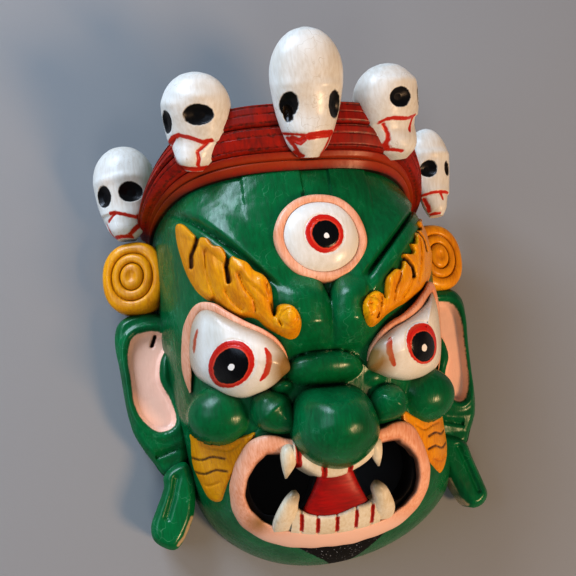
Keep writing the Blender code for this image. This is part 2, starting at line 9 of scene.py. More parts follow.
import bmesh
import bpy
import numpy as np
from mathutils import Matrix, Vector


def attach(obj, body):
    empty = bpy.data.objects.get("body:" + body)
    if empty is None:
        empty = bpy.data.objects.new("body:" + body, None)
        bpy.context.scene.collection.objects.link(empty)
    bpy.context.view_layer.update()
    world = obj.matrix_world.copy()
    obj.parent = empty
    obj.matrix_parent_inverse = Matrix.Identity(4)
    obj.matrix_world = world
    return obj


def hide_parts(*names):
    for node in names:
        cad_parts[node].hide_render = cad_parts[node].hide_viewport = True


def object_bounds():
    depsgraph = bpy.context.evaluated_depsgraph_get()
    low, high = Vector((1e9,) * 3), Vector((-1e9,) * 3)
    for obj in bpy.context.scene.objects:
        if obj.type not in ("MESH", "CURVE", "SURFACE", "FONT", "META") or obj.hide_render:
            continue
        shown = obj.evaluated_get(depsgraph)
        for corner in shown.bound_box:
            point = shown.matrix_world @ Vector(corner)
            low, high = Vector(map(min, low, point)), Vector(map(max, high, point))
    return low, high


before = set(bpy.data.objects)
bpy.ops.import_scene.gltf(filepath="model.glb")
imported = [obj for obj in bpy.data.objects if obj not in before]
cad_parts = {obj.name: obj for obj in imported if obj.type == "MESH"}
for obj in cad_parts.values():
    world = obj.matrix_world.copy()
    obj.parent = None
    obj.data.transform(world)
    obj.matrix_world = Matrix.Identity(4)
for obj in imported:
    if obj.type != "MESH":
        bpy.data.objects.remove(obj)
CAD_LOW, CAD_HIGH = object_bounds()

for old in [o for o in bpy.data.objects if o.type in ("LIGHT", "CAMERA")]:
    bpy.data.objects.remove(old)

# Place of the carving units in the frame: the mask's height sets the unit, and the middle of the
# outline on the ground lies at UNIT_CENTRE.
UNITS_TALL = 30.8
UNIT = (CAD_HIGH.y - CAD_LOW.y) / UNITS_TALL
UNIT_CENTRE = np.array([-0.51, 3.58, 0.0])
bpy.context.scene.view_settings.view_transform = "Standard"
bpy.context.scene.view_settings.look = "Medium High Contrast"


# Camera: it looks down on the lying mask from the chin side and a little from the left, so close
# that the crown, which stands higher, looks larger than the chin.
CAMERA_TARGET = np.array([-1.2, 5.7, 6.0])
CAMERA_DISTANCE = 48.4
CAMERA_LEFT, CAMERA_CHINWARD, CAMERA_ROLL = 9.0, 12.8, -6.4
CAMERA_FOCUS_PIXELS = 760
FRAME_PIXELS = 576


def camera_turn(left, chinward, roll):
    """Right, up and back directions of a camera turned away from straight above the face."""
    a, b, c = math.radians(left), math.radians(chinward), math.radians(roll)
    back = np.array([-math.sin(a) * math.cos(b), -math.sin(b), math.cos(a) * math.cos(b)])
    right = np.cross(-back, (0, 1, 0))
    right /= np.linalg.norm(right)
    up = np.cross(back, right)
    return (math.cos(c) * right + math.sin(c) * up, math.cos(c) * up - math.sin(c) * right, back)


lens = bpy.data.cameras.new("camera")
lens.sensor_width = 36.0
lens.lens = lens.sensor_width * CAMERA_FOCUS_PIXELS / FRAME_PIXELS
camera = bpy.data.objects.new("camera", lens)
bpy.context.scene.collection.objects.link(camera)
turned = Matrix.Identity(4)
for column, direction in enumerate(camera_turn(CAMERA_LEFT, CAMERA_CHINWARD, CAMERA_ROLL)):
    for row in range(3):
        turned[row][column] = direction[row]
        if column == 2:
            place = CAMERA_TARGET + CAMERA_DISTANCE * direction - UNIT_CENTRE
            turned[row][3] = place[row] * UNIT
camera.matrix_world = turned
bpy.context.scene.camera = camera


# Floor and light: a plain pale floor, a wide cool window above on the left, a weaker patch of sky
# beside it, a small warm lamp on the right, and a ceiling light that no gloss shows as a spot.
FLOOR_SIZE, FLOOR_GAP = 6.0, 0.0002
FLOOR_COLOUR, ROOM_COLOUR, ROOM_STRENGTH = "#8B8D8E", "#E2E8F2", 0.16


def srgb(text, alpha=1.0):
    """Linear colour of an sRGB hex value."""
    shares = [int(text[i:i + 2], 16) / 255 for i in (1, 3, 5)]
    return tuple(s / 12.92 if s <= 0.04045 else ((s + 0.055) / 1.055) ** 2.4 for s in shares) + (alpha,)


def add(tree, kind, inputs=None, **settings):
    """One node with its settings, its sockets either linked or given a value."""
    node = tree.nodes.new("ShaderNode" + kind)
    for key, value in settings.items():
        setattr(node, key, value)
    for socket, value in (inputs or {}).items():
        if isinstance(value, bpy.types.NodeSocket):
            tree.links.new(value, node.inputs[socket])
        else:
            node.inputs[socket].default_value = value
    return node


def floor_paper():
    """Matt studio paper: even and pale, with a fibre too fine to see more than as a soft tooth."""
    material = bpy.data.materials.new("matt_studio_paper")
    material.use_nodes = True
    tree = material.node_tree
    shader = tree.nodes["Principled BSDF"]
    shader.inputs["Base Color"].default_value = srgb(FLOOR_COLOUR)
    shader.inputs["Roughness"].default_value = 0.85
    where = add(tree, "TexCoord").outputs["Object"]
    fibre = add(tree, "TexNoise", {"Vector": where, "Scale": 900.0, "Detail": 4.0})
    tooth = add(tree, "Bump", {"Height": fibre.outputs["Fac"], "Strength": 0.15, "Distance": 0.0004})
    tree.links.new(tooth.outputs["Normal"], shader.inputs["Normal"])
    return material


mesh = bpy.data.meshes.new("floor")
half = FLOOR_SIZE / 2
mesh.from_pydata([(-half, -half, 0), (half, -half, 0), (half, half, 0), (-half, half, 0)], [],
                 [(0, 1, 2, 3)])
floor = bpy.data.objects.new("floor", mesh)
floor.location.z = CAD_LOW.z - FLOOR_GAP
bpy.context.scene.collection.objects.link(floor)
mesh.materials.append(floor_paper())

LIGHTS = (
    # name, place, size in metres, watts, colour
    ("window", (-0.84, 1.22, 0.80), 0.8, 26.0, "#D8E8FF"),
    ("sky", (-1.05, 0.15, 0.95), 0.8, 4.5, "#CFE4FF"),
    ("lamp", (1.35, -1.15, 1.65), 0.5, 35.0, "#FFD0A0"),
    ("ceiling", (-0.1, -1.2, 1.3), 0.5, 5.0, "#FFF8F0"),
)
for name, place, size, power, colour in LIGHTS:
    light = bpy.data.lights.new(name, "AREA")
    light.size = size
    light.energy = power
    light.color = srgb(colour)[:3]
    lamp = bpy.data.objects.new(name, light)
    lamp.location = place
    lamp.rotation_mode = "QUATERNION"
    lamp.rotation_quaternion = lamp.location.to_track_quat("Z", "Y")
    lamp.visible_glossy = name != "ceiling"
    bpy.context.scene.collection.objects.link(lamp)

world = bpy.data.worlds.new("room")
world.use_nodes = True
world.node_tree.nodes["Background"].inputs["Color"].default_value = srgb(ROOM_COLOUR)
world.node_tree.nodes["Background"].inputs["Strength"].default_value = ROOM_STRENGTH
bpy.context.scene.world = world


# Head: the block that everything is cut from. A smooth dome under deep green enamel, with brow
# ridges, a frown, the roll over the bridge of the nose and cheek balls carved on it. It is
# hollowed out at the back, and the mouth goes right through on both sides of the tongue.
FACE_WALL = 0.017 / UNIT
RIM_WALL = 0.014 / UNIT
CHIN_TIP, CHIN_BEND, TOP_BEND, HEAD_TOP = -11.85, -5.0, 8.5, 15.3
HALF_WIDTH = ((-12.0, 8.4), (-5.0, 8.4), (0.0, 9.3), (6.0, 9.7), (16.0, 9.5))
MID_DEPTH = ((-12.0, 6.4), (-10.0, 6.9), (-7.5, 7.7), (-4.0, 8.7), (0.0, 9.9),
             (4.0, 10.9), (8.0, 11.3), (12.0, 10.9), (16.0, 10.4))
DOME_POWER, DOME_ROUND = 3.0, 1.7
RIGHT_TEMPLE, TEMPLE_BEND, TEMPLE_LONG = 1.5, 7.0, 5.0
RIGHT_JAW, JAW_BEND, JAW_LONG = 1.6, -1.0, 7.0
HEAD_CELLS, HOLLOW_RINGS, EDGE_PRESS = 264, 16, 1.25
SHARP_ANGLE = 55
SIDES = ((-1, "left"), (1, "right"))
BROW_START, BROW_RUN, BROW_LONG = (2.3, 2.6), np.array([5.5, 6.8]), 8.75
FROWN = ((-1.22, 1.72), (1.32, 1.22))
# middle and radii of each lump, the last two on both sides
BRIDGE_ROLL = ((-0.25, -0.05), (2.25, 1.0))
CHEEK_BALL = ((6.1, -1.9), (2.1, 1.75))
CORNER_KNOB = ((2.75, -0.85), (0.65, 0.45))
HOLE_POINTS, SAW_HEIGHTS = 48, (-2.0, 14.0)
BARE_ABOVE, HOLE_BLACK, GOATEE_LIFT = 1.0, 0.4, 0.5
# value of a paint's field where that paint isn't
NOWHERE = 5.0
GLITTER_COLOUR, MATT_ROUGHNESS, MATT_LAYERS = "#9AA0A8", 0.8, ("mouth_black_and_shade", "goatee")
GOATEE = ((-2.75, -9.7), (-1.6, -10.5), (-0.3, -11.3), (0.55, -12.0), (1.25, -12.0),
          (2.1, -11.1), (2.95, -10.3), (3.6, -9.6), (0.4, -9.3))
MOUTH_HOLE = ((1.2, -5.0), (2.4, -4.2), (3.9, -4.1), (4.8, -5.2), (4.9, -6.6), (4.2, -7.8),
              (3.1, -8.0), (1.9, -7.6), (1.3, -6.4))


def through(value, points):
    """Smooth curve through a few points: a cubic between neighbours, slopes from both sides."""
    p = np.array(points, float)
    px, py = p[:, 0], p[:, 1]
    slope = np.gradient(py, px)
    v = np.clip(np.asarray(value, float), px[0], px[-1])
    i = np.clip(np.searchsorted(px, v) - 1, 0, len(px) - 2)
    h = px[i + 1] - px[i]
    t = (v - px[i]) / h
    return ((2 * t**3 - 3 * t**2 + 1) * py[i] + (t**3 - 2 * t**2 + t) * h * slope[i]
            + (3 * t**2 - 2 * t**3) * py[i + 1] + (t**3 - t**2) * h * slope[i + 1])


def loop_through(points, count):
    """Closed smooth outline through a few points, read at even steps between them."""
    p = np.array(points, float)
    n = len(p)
    s = np.arange(count) * n / count
    i = s.astype(int)
    t = (s - i)[:, None]
    a, b, c, d = p[(i - 1) % n], p[i % n], p[(i + 1) % n], p[(i + 2) % n]
    return 0.5 * (2 * b + (c - a) * t + (2 * a - 5 * b + 4 * c - d) * t**2
                  + (3 * b - a - 3 * c + d) * t**3)


def turns(count):
    """Angles at even steps once round."""
    return np.arange(count) * 2 * math.pi / count


def bell(distance, width):
    """1 on a line and near 0 at two widths from it: e to the minus square of distance over width."""
    return np.exp(-((distance / width) ** 2))


def cap(share, power=2):
    """Rounded top, 1 in the middle and 0 at a share of 1: root of one less the share's power."""
    return np.sqrt(np.clip(1 - share**power, 0, 1))


def signed_power(value, power):
    """Value with its size raised to a power and its sign kept."""
    return np.sign(value) * np.abs(value) ** power


def line_distance(x, y, line, closed=False):
    """Distance from each point to a line of straight stretches."""
    line = np.asarray(line, float)
    ends = np.roll(line, -1, axis=0)
    if not closed:
        line, ends = line[:-1], ends[:-1]
    best = np.full(np.shape(x), np.inf)
    for (ax, ay), (bx, by) in zip(line, ends):
        long = max((bx - ax) ** 2 + (by - ay) ** 2, 1e-12)
        t = np.clip(((x - ax) * (bx - ax) + (y - ay) * (by - ay)) / long, 0, 1)
        best = np.minimum(best, np.hypot(x - ax - t * (bx - ax), y - ay - t * (by - ay)))
    return best


def inside_distance(x, y, outline):
    """Distance to a closed outline, less than nothing inside it."""
    outline = np.asarray(outline, float)
    ends = np.roll(outline, -1, axis=0)
    inside = np.zeros(np.shape(x), bool)
    for (ax, ay), (bx, by) in zip(outline, ends):
        crosses = (ay > y) != (by > y)
        with np.errstate(divide="ignore", invalid="ignore"):
            at = ax + (y - ay) * (bx - ax) / (by - ay)
        inside ^= crosses & (x < at)
    return line_distance(x, y, outline, True) * np.where(inside, -1, 1)


def ends_of(y):
    """How far the outline has closed towards the chin and towards the top, 0 to 1 each."""
    low = np.clip((CHIN_BEND - y) / (CHIN_BEND - CHIN_TIP), 0, 1)
    high = np.clip((y - TOP_BEND) / (HEAD_TOP - TOP_BEND), 0, 1)
    return low**2, high**6


def half_width(x, y):
    """Distance from the middle line to the outline: less at the top right, more at the jaw."""
    narrow = RIGHT_TEMPLE * np.clip((y - TEMPLE_BEND) / TEMPLE_LONG, 0, 1)
    broad = RIGHT_JAW * np.clip((JAW_BEND - y) / JAW_LONG, 0, 1)
    return through(y, HALF_WIDTH) + np.where(np.asarray(x) > 0, broad - narrow, 0)


def dome(x, y):
    """Height of the plain head over the ground: middle profile times a rounded arch across."""
    low, high = ends_of(y)
    rho = np.sqrt((x / half_width(x, y)) ** 2 + low + high)
    arch = (1 - np.clip(rho, 0, 1) ** DOME_POWER) ** (1 / DOME_ROUND)
    return through(y, MID_DEPTH) * arch


def bump(x, y, centre, radii, turn=0.0):
    """1 on top of an oval and 0 at its edge, round like a ball."""
    c, s = math.cos(turn), math.sin(turn)
    dx, dy = x - centre[0], y - centre[1]
    a = (c * dx + s * dy) / radii[0]
    b = (-s * dx + c * dy) / radii[1]
    return np.sqrt(np.clip(1 - a**2 - b**2, 0, 1))


def soft_max(a, b, blend):
    """The higher of two surfaces, with the crease between them filled by a small round."""
    h = np.clip(0.5 + 0.5 * (a - b) / blend, 0, 1)
    return b + (a - b) * h + blend * h * (1 - h)


def brow_place(x, y):
    """Share of the way along the brow and distance off its line, upwards counted as more."""
    dx, dy = np.abs(x) - BROW_START[0], y - BROW_START[1]
    long = BROW_RUN @ BROW_RUN
    share = (dx * BROW_RUN[0] + dy * BROW_RUN[1]) / long
    off = (dy * BROW_RUN[0] - dx * BROW_RUN[1]) / math.sqrt(long)
    return share, off


def face_height(x, y, cheeks=True):
    """Carved face: the plain head with brow ridges, frown, bridge roll and cheek balls on it."""
    side = np.abs(x)
    z = dome(x, y)
    share, off = brow_place(x, y)
    along = np.clip(share, 0, 1)
    far = np.hypot(off, (share - along) * BROW_LONG)
    z = z + 1.0 * bell(far, 1.5) * (1 - 0.5 * along)
    # the forehead ends over the brow in a rounded step, then comes a cut and a narrow fold
    fade = np.clip((share - 0.02) / 0.16, 0, 1) * np.clip((1.22 - share) / 0.16, 0, 1)
    past = off - np.where(x < 0, 0.95 - 0.30 * share, 1.36 - 0.6 * share)
    z = z + fade * 0.50 * bell(past - 0.32, np.where(past > 0.32, 1.5, 0.26))
    z = z - fade * 0.34 * bell(past, 0.15)
    z = z + fade * 0.30 * cap((past + 0.5) / 0.48)
    for centre, wide in FROWN:
        lean = centre + 0.35 * np.clip(y - 3.2, 0, 3) * np.sign(centre)
        across = cap((x - lean) / wide)
        rise = np.clip((5.9 - y) / 2.4, 0, 1)
        fall = np.sqrt(np.clip((y - 0.8) / 1.5, 0, 1))
        hump = -0.1 + (0.25 + 1.45 * across * rise * rise * (3 - 2 * rise)) * fall
        z = np.where((across > 0) & (y > 0.8), soft_max(dome(x, y) + hump, z, 0.18), z)
    lump = bump(x, y, *BRIDGE_ROLL)
    z = np.where(lump > 0, soft_max(dome(0, y) - 0.15 + 1.35 * lump**0.9, z, 0.10), z)
    ball = bump(side, y, *CHEEK_BALL) * cheeks
    z = np.where(ball > 0, soft_max(7.0 + 2.0 * ball, z, 0.15), z)
    knob = bump(side, y, *CORNER_KNOB)
    z = np.where(knob > 0, soft_max(dome(side, y) - 0.1 + np.where(x > 0, 0.3, 0.7) * knob, z, 0.12), z)
    # a line cut with the knife runs under each cheek ball
    under = np.hypot(side - 6.1, (y + 1.9) * 1.2) - 2.25
    return z - 0.10 * bell(under, 0.09) * (y < -2.2) * cheeks


def head_plan(p, q, inset):
    """Ground plan of the head: a round disc stretched over the outline, inset by a wall.

    Gives the place on the inset outline and the matching place on the full one.
    """
    half_long = (HEAD_TOP - CHIN_TIP) / 2
    middle = (HEAD_TOP + CHIN_TIP) / 2
    y = middle + q * (half_long - inset)
    full_y = middle + q * half_long
    low, high = ends_of(full_y)
    reach = np.sqrt(np.clip(1 - low - high, 1e-6, 1)) / np.sqrt(np.clip(1 - q**2, 1e-6, 1))
    wide = half_width(p, full_y)
    return p * (wide - inset) * reach, y, p * wide * reach, full_y


def ring_quads(rows, cols):
    """Quads between neighbouring closed rings of points."""
    r, c = np.meshgrid(np.arange(rows - 1), np.arange(cols), indexing="ij")
    d = (c + 1) % cols
    quads = np.stack([r * cols + c, r * cols + d, (r + 1) * cols + d, (r + 1) * cols + c], -1)
    return quads.reshape(-1, 4)


def put(name, points, faces, material, attributes=None):
    """Piece from points in units: placed in the frame, faces turned outwards, shaded smooth."""
    mesh = bpy.data.meshes.new(name)
    mesh.from_pydata(((np.asarray(points) - UNIT_CENTRE) * UNIT).tolist(), [], faces)
    for key, values in (attributes or {}).items():
        layer = mesh.attributes.new(key, "FLOAT", "POINT")
        layer.data.foreach_set("value", np.asarray(values, np.float32).ravel())
    bm = bmesh.new()
    bm.from_mesh(mesh)
    bmesh.ops.remove_doubles(bm, verts=bm.verts, dist=1e-6)
    bmesh.ops.recalc_face_normals(bm, faces=bm.faces)
    bm.to_mesh(mesh)
    bm.free()
    mesh.shade_smooth()
    mesh.set_sharp_from_angle(angle=math.radians(SHARP_ANGLE))
    piece = bpy.data.objects.new(name, mesh)
    bpy.context.scene.collection.objects.link(piece)
    mesh.materials.append(material)
    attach(piece, "root")
    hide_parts("mask")
    return piece


def rings_piece(name, rings, material, attributes=None):
    """Closed piece through rings of points, each end ring filled by a fan to its middle."""
    rings = np.asarray(rings, float)
    rows, cols = rings.shape[:2]
    points = np.vstack([rings.reshape(-1, 3), rings[0].mean(0), rings[-1].mean(0)])
    faces = ring_quads(rows, cols).tolist()
    first, last = rows * cols, rows * cols + 1
    for c in range(cols):
        d = (c + 1) % cols
        faces.append((first, d, c))
        faces.append((last, (rows - 1) * cols + c, (rows - 1) * cols + d))
    filled = {}
    for key, values in (attributes or {}).items():
        v = np.broadcast_to(values, (rows, cols))
        filled[key] = np.concatenate([v.ravel(), [v[0].mean(), v[-1].mean()]])
    return put(name, points, faces, material, filled)


def ranged(tree, value, low, high, to_low=0.0, to_high=1.0):
    """Value stretched so that low and high become the two ends, and held between them."""
    return add(tree, "MapRange", {"Value": value, "From Min": low, "From Max": high,
                                  "To Min": to_low, "To Max": to_high}).outputs[0]


def mixed(tree, share, first, second):
    """Colour that goes from the first to the second by a share."""
    return add(tree, "Mix", {0: share, 6: first, 7: second}, data_type="RGBA").outputs[2]


def worked(tree, operation, *values):
    """Result of one sum or product of values."""
    return add(tree, "Math", dict(enumerate(values)), operation=operation).outputs[0]


def enamel(name, colour, shade, layers=(), gloss=0.26, stroke=(1.0, 0.12, 1.0), crease_shade=0.55,
           crease_shade_colour="#1B1410", uneven=0.25, streak_mm=0.9, bump_mm=0.10, worn_colour=None,
           glitter=None, facet=0.5):
    """Brushed enamel over carved wood.

    The colour drifts between two tones in slow clouds and in fine streaks along the brush. Fine
    scratches show a paler tone, the creases and the joints between pieces get painted shade from
    an occlusion mask, the knife's facets and the brush strokes raise the surface, and each layer
    is a second paint laid where an attribute is below zero: its name, colour and the softness of
    its edge in units. Glitter names a layer strewn with flecks.
    """
    material = bpy.data.materials.new(name)
    material.use_nodes = True
    tree = material.node_tree
    shader = tree.nodes["Principled BSDF"]
    where = add(tree, "TexCoord").outputs["Object"]
    brushed = add(tree, "Mapping", {"Vector": where, "Scale": stroke}).outputs["Vector"]
    streaks = add(tree, "TexNoise", {"Vector": brushed, "Scale": 500.0 / streak_mm, "Detail": 3.0,
                                     "Roughness": 0.6}).outputs["Fac"]
    clouds = add(tree, "TexNoise", {"Vector": where, "Scale": 45.0, "Detail": 3.0}).outputs["Fac"]
    tone = ranged(tree, worked(tree, "ADD", streaks, clouds), 0.72, 1.28)
    paint = mixed(tree, tone, srgb(shade), srgb(colour))
    if worn_colour:
        bent = add(tree, "TexNoise", {"Vector": where, "Scale": 90.0}).outputs["Color"]
        bent = add(tree, "Mix", {0: 0.02, 4: where, 5: bent}, data_type="VECTOR").outputs[1]
        cells = add(tree, "TexVoronoi", {"Vector": bent, "Scale": 85.0}, feature="DISTANCE_TO_EDGE")
        thin = ranged(tree, cells.outputs["Distance"], 0.016, 0.004)
        patchy = ranged(tree, clouds, 0.52, 0.66, 0.0, 0.55)
        paint = mixed(tree, worked(tree, "MULTIPLY", thin, patchy), paint, srgb(worn_colour))
    wobble = add(tree, "TexNoise", {"Vector": where, "Scale": 420.0, "Detail": 2.0}).outputs["Fac"]
    wobble = ranged(tree, wobble, 0.0, 1.0, -0.2 * uneven, 0.2 * uneven)
    covers = {}
    for attribute, hue, soft in layers:
        field = add(tree, "Attribute", attribute_name=attribute).outputs["Fac"]
        covers[attribute] = ranged(tree, worked(tree, "ADD", field, wobble), soft, -soft)
        paint = mixed(tree, covers[attribute], paint, srgb(hue))
    if glitter:
        flecks = add(tree, "TexVoronoi", {"Vector": where, "Scale": 1500.0}).outputs["Color"]
        lit = ranged(tree, add(tree, "SeparateColor", {"Color": flecks}).outputs[0], 0.97, 0.99)
        lit = worked(tree, "MULTIPLY", lit, covers[glitter])
        paint = mixed(tree, lit, paint, srgb(GLITTER_COLOUR))
    # painted shade: the colour darkens in creases and where pieces meet, by how shut in the surface is
    crease_shade_mask = add(tree, "AmbientOcclusion", {"Distance": 0.006}, samples=6).outputs["AO"]
    paint = mixed(tree, ranged(tree, crease_shade_mask, 0.62, 0.18, 0.0, crease_shade), paint, srgb(crease_shade_colour))
    tree.links.new(paint, shader.inputs["Base Color"])
    rough = ranged(tree, tone, 0.0, 1.0, gloss + 0.12, gloss - 0.06)
    for attribute in MATT_LAYERS:
        if attribute in covers:
            rough = add(tree, "Mix", {0: covers[attribute], 2: rough, 3: MATT_ROUGHNESS}).outputs[0]
    tree.links.new(rough, shader.inputs["Roughness"])
    shader.inputs["IOR"].default_value = 1.4
    facets = add(tree, "TexNoise", {"Vector": where, "Scale": 110.0, "Detail": 1.0}).outputs["Fac"]
    knife = add(tree, "TexVoronoi", {"Vector": where, "Scale": 130.0}, feature="SMOOTH_F1")
    facets = worked(tree, "MULTIPLY", facets, 5.0)
    facets = worked(tree, "MULTIPLY_ADD", knife.outputs["Distance"], 2.2, facets)
    relief = worked(tree, "ADD", streaks, facets)
    tooth = add(tree, "Bump", {"Height": relief, "Strength": facet, "Distance": bump_mm / 1000})
    tree.links.new(tooth.outputs["Normal"], shader.inputs["Normal"])
    return material


# Gloss enamel laid on thick: deep green with broad soft highlights that the knife's facets break
# up, beside a dull black in the mouth, which is black paint round the holes and painted shade in
# the hollow behind them, and a dull glittering black on the goatee.
GREEN = dict(colour="#056E3E", shade="#03522C", gloss=0.24, worn_colour="#5E9A7C", bump_mm=0.14,
             facet=0.75)
green = enamel("green_gloss_enamel", glitter="goatee",
               layers=(("mouth_black_and_shade", "#080707", 0.12), ("goatee", "#040405", 0.03),
                       ("bare_back", "#8A6A48", 0.02)), **GREEN)


def head_piece():
    """Dome over a square grid bent to the round outline, closed behind by the hollow's rings."""
    a = np.linspace(-1, 1, HEAD_CELLS)
    a, b = np.meshgrid(a, a)
    p, q = a * np.sqrt(1 - b**2 / 2), b * np.sqrt(1 - a**2 / 2)
    r = np.hypot(p, q)
    press = np.where(r > 0, (1 - (1 - r) ** EDGE_PRESS) / np.maximum(r, 1e-9), 1)
    p, q = p * press, q * press
    x, y, _, _ = head_plan(p, q, 0.0)
    z = face_height(x, y)
    z[[0, -1], :] = 0.0
    z[:, [0, -1]] = 0.0
    n = HEAD_CELLS
    front = np.stack([x, y, z], -1).reshape(-1, 3)
    i = np.arange(n * n).reshape(n, n)
    quads = np.stack([i[:-1, :-1], i[:-1, 1:], i[1:, 1:], i[1:, :-1]], -1).reshape(-1, 4)
    edge = np.concatenate([i[0, :-1], i[:-1, -1], i[-1, :0:-1], i[:0:-1, 0]])
    ep, eq = p.ravel()[edge], q.ravel()[edge]
    share = np.sin(np.linspace(math.pi / 2, 0.02, HOLLOW_RINGS))[:, None]
    hx, hy, full_x, full_y = head_plan(ep * share, eq * share, RIM_WALL)
    hz = np.maximum(dome(full_x, full_y) - FACE_WALL, 0.0)
    rings = np.stack([hx, hy, hz], -1)
    inner = rings.reshape(-1, 3)
    count = len(edge)
    start = len(front)
    nxt = np.roll(np.arange(count), -1)
    rim = np.stack([edge, edge[nxt], start + nxt, start + np.arange(count)], -1)
    back = start + ring_quads(HOLLOW_RINGS, count)
    middle = start + len(inner)
    last = start + (HOLLOW_RINGS - 1) * count
    points = np.vstack([front, inner, rings[-1].mean(0)])
    faces = quads.tolist() + rim.tolist() + back.tolist()
    faces += [(middle, last + k, last + int(nxt[k])) for k in range(count)]
    return put("head", points, faces, green)


def cut_mouth(piece):
    """Both mouth holes sawn through the wall, and then where black and bare wood lie."""
    for side in (-1, 1):
        outline = loop_through(MOUTH_HOLE, HOLE_POINTS) * (side, 1)
        rings = [np.column_stack([outline, np.full(HOLE_POINTS, z)]) for z in SAW_HEIGHTS]
        saw = rings_piece("saw", rings, green)
        cut = piece.modifiers.new("cut", "BOOLEAN")
        cut.operation = "DIFFERENCE"
        cut.solver = "EXACT"
        cut.object = saw
        graph = bpy.context.evaluated_depsgraph_get()
        mesh = bpy.data.meshes.new_from_object(piece.evaluated_get(graph))
        piece.modifiers.clear()
        piece.data = mesh
        bpy.data.objects.remove(saw)
    co = np.zeros(len(mesh.vertices) * 3)
    mesh.vertices.foreach_get("co", co)
    x, y, z = (co.reshape(-1, 3) / UNIT + UNIT_CENTRE).T
    outline = loop_through(MOUTH_HOLE, HOLE_POINTS)
    hole = np.minimum(*[inside_distance(side * x, y, outline) for side in (-1, 1)])
    inner = z - (dome(x, y) - 0.5 * FACE_WALL)
    beard = np.where(z > GOATEE_LIFT, inside_distance(x, y, GOATEE), NOWHERE)
    # the hollow is painted black below the eyes as painted shade for the dark inside behind the holes, and
    # is bare wood above; round the holes the black is the mask's own paint
    black = np.where(inner < 0, y - BARE_ABOVE, hole - HOLE_BLACK)
    bare = np.where((inner < 0) & (y > BARE_ABOVE), -1.0, 1.0)
    for key, values in (("mouth_black_and_shade", black), ("goatee", beard), ("bare_back", bare)):
        layer = mesh.attributes.new(key, "FLOAT", "POINT")
        layer.data.foreach_set("value", values.astype(np.float32))


head = head_piece()
cut_mouth(head)


# Third eye: a flat salmon ring round a bulging ivory ball, cut out of the forehead. The iris is
# a red ring with a cut line inside it and a glossy black pupil with a white glint painted on it.
THIRD_EYE = ((-2.59, 7.41), (-2.12, 8.76), (-1.09, 9.62), (0.23, 9.85), (1.57, 9.52), (2.52, 8.47),
             (2.88, 6.95), (2.41, 5.67), (1.31, 4.86), (0.02, 4.66), (-1.29, 5.06), (-2.23, 6.05))
THIRD_CENTRE = np.array([0.14, 7.25])
THIRD_IRIS, THIRD_PUPIL, THIRD_POINTS = (0.23, 7.26), (0.27, 7.20), 160
EYE_RED, EYE_ORANGE, EYE_BLACK, GLINT_WHITE = "#C8261A", "#D9492E", "#08080A", "#F4F1EA"


def patch_piece(name, outline, centre, top, material, attributes=None, rows=44, below=0.8):
    """Raised patch: from under its centre out to its edge, up, and back over its top.

    top(x, y, share) gives the height at a share of the way out, 0 in the centre and 1 at the
    edge. Each attribute is a function of x and y.
    """
    outline, centre = np.asarray(outline, float), np.asarray(centre, float)
    share = np.concatenate([[0.05, 1.0], np.sin(np.linspace(math.pi / 2, 0.02, rows))])[:, None]
    x = centre[0] + (outline[:, 0] - centre[0]) * share
    y = centre[1] + (outline[:, 1] - centre[1]) * share
    z = top(x, y, share)
    z[:2] = dome(x[:2], y[:2]) - below
    fields = {key: field(x, y) for key, field in (attributes or {}).items()}
    return rings_piece(name, np.stack([x, y, z], -1), material, fields)


def band_rings(path, half, tall, deep, surface, closed=False, sides=26, square=0.5):
    """Rings of a raised band that follows a path over a surface.

    Half is its half width and tall its height over the surface. Under the surface it goes down
    by deep. The smaller square is, the flatter its top.
    """
    path = np.asarray(path, float)
    if closed:
        ahead = np.roll(path, -1, axis=0) - np.roll(path, 1, axis=0)
    else:
        ahead = np.gradient(path, axis=0)
    ahead /= np.linalg.norm(ahead, axis=1)[:, None]
    a = turns(sides)
    reach = np.asarray(half)[..., None] * signed_power(np.cos(a), 0.8)
    x = path[:, :1] - ahead[:, 1:] * reach
    y = path[:, 1:] + ahead[:, :1] * reach
    up = np.abs(np.sin(a))
    lift = np.where(np.sin(a) > 0, np.asarray(tall)[..., None] * up**square, -deep * up)
    return np.stack([x, y, surface(x, y) + lift], -1)


def loop_piece(name, rings, material, attributes=None):
    """Closed ring-shaped piece: the last ring of points joins the first."""
    rows, cols = rings.shape[:2]
    faces = ring_quads(rows, cols).tolist()
    last = (rows - 1) * cols
    faces += [(last + c, last + (c + 1) % cols, (c + 1) % cols, c) for c in range(cols)]
    return put(name, rings.reshape(-1, 3), faces, material, attributes)


def disc_field(centre, radii, turn=0.0):
    """Function that is below zero inside an oval and rises by one for each radius further out."""
    c, s = math.cos(turn), math.sin(turn)

    def field(x, y):
        dx, dy = x - centre[0], y - centre[1]
        a, b = (c * dx + s * dy) / radii[0], (c * dy - s * dx) / radii[1]
        return (np.hypot(a, b) - 1) * min(radii)
    return field


def stroke_field(line, half):
    """Function that is below zero within half a brush width of a line."""
    def field(x, y):
        return line_distance(x, y, line) - half
    return field


EYE_LAYERS = (("iris", EYE_RED, 0.02), ("inner", EYE_ORANGE, 0.02), ("pupil", EYE_BLACK, 0.02),
              ("painted_glint", GLINT_WHITE, 0.015), ("arc", "#C9281F", 0.03), ("soil_and_shade", "#9A7848", 0.55))
# Gloss ivory enamel: wet, warm whites, with a blurred brown soil in the inner corners of the eyes and
# painted brown shade along the lids and in the creases.
eye_ivory = enamel("ivory_gloss_enamel_eyes", "#EFEBE2", "#DCD5C6", EYE_LAYERS, gloss=0.24,
                   crease_shade_colour="#6A4E33")
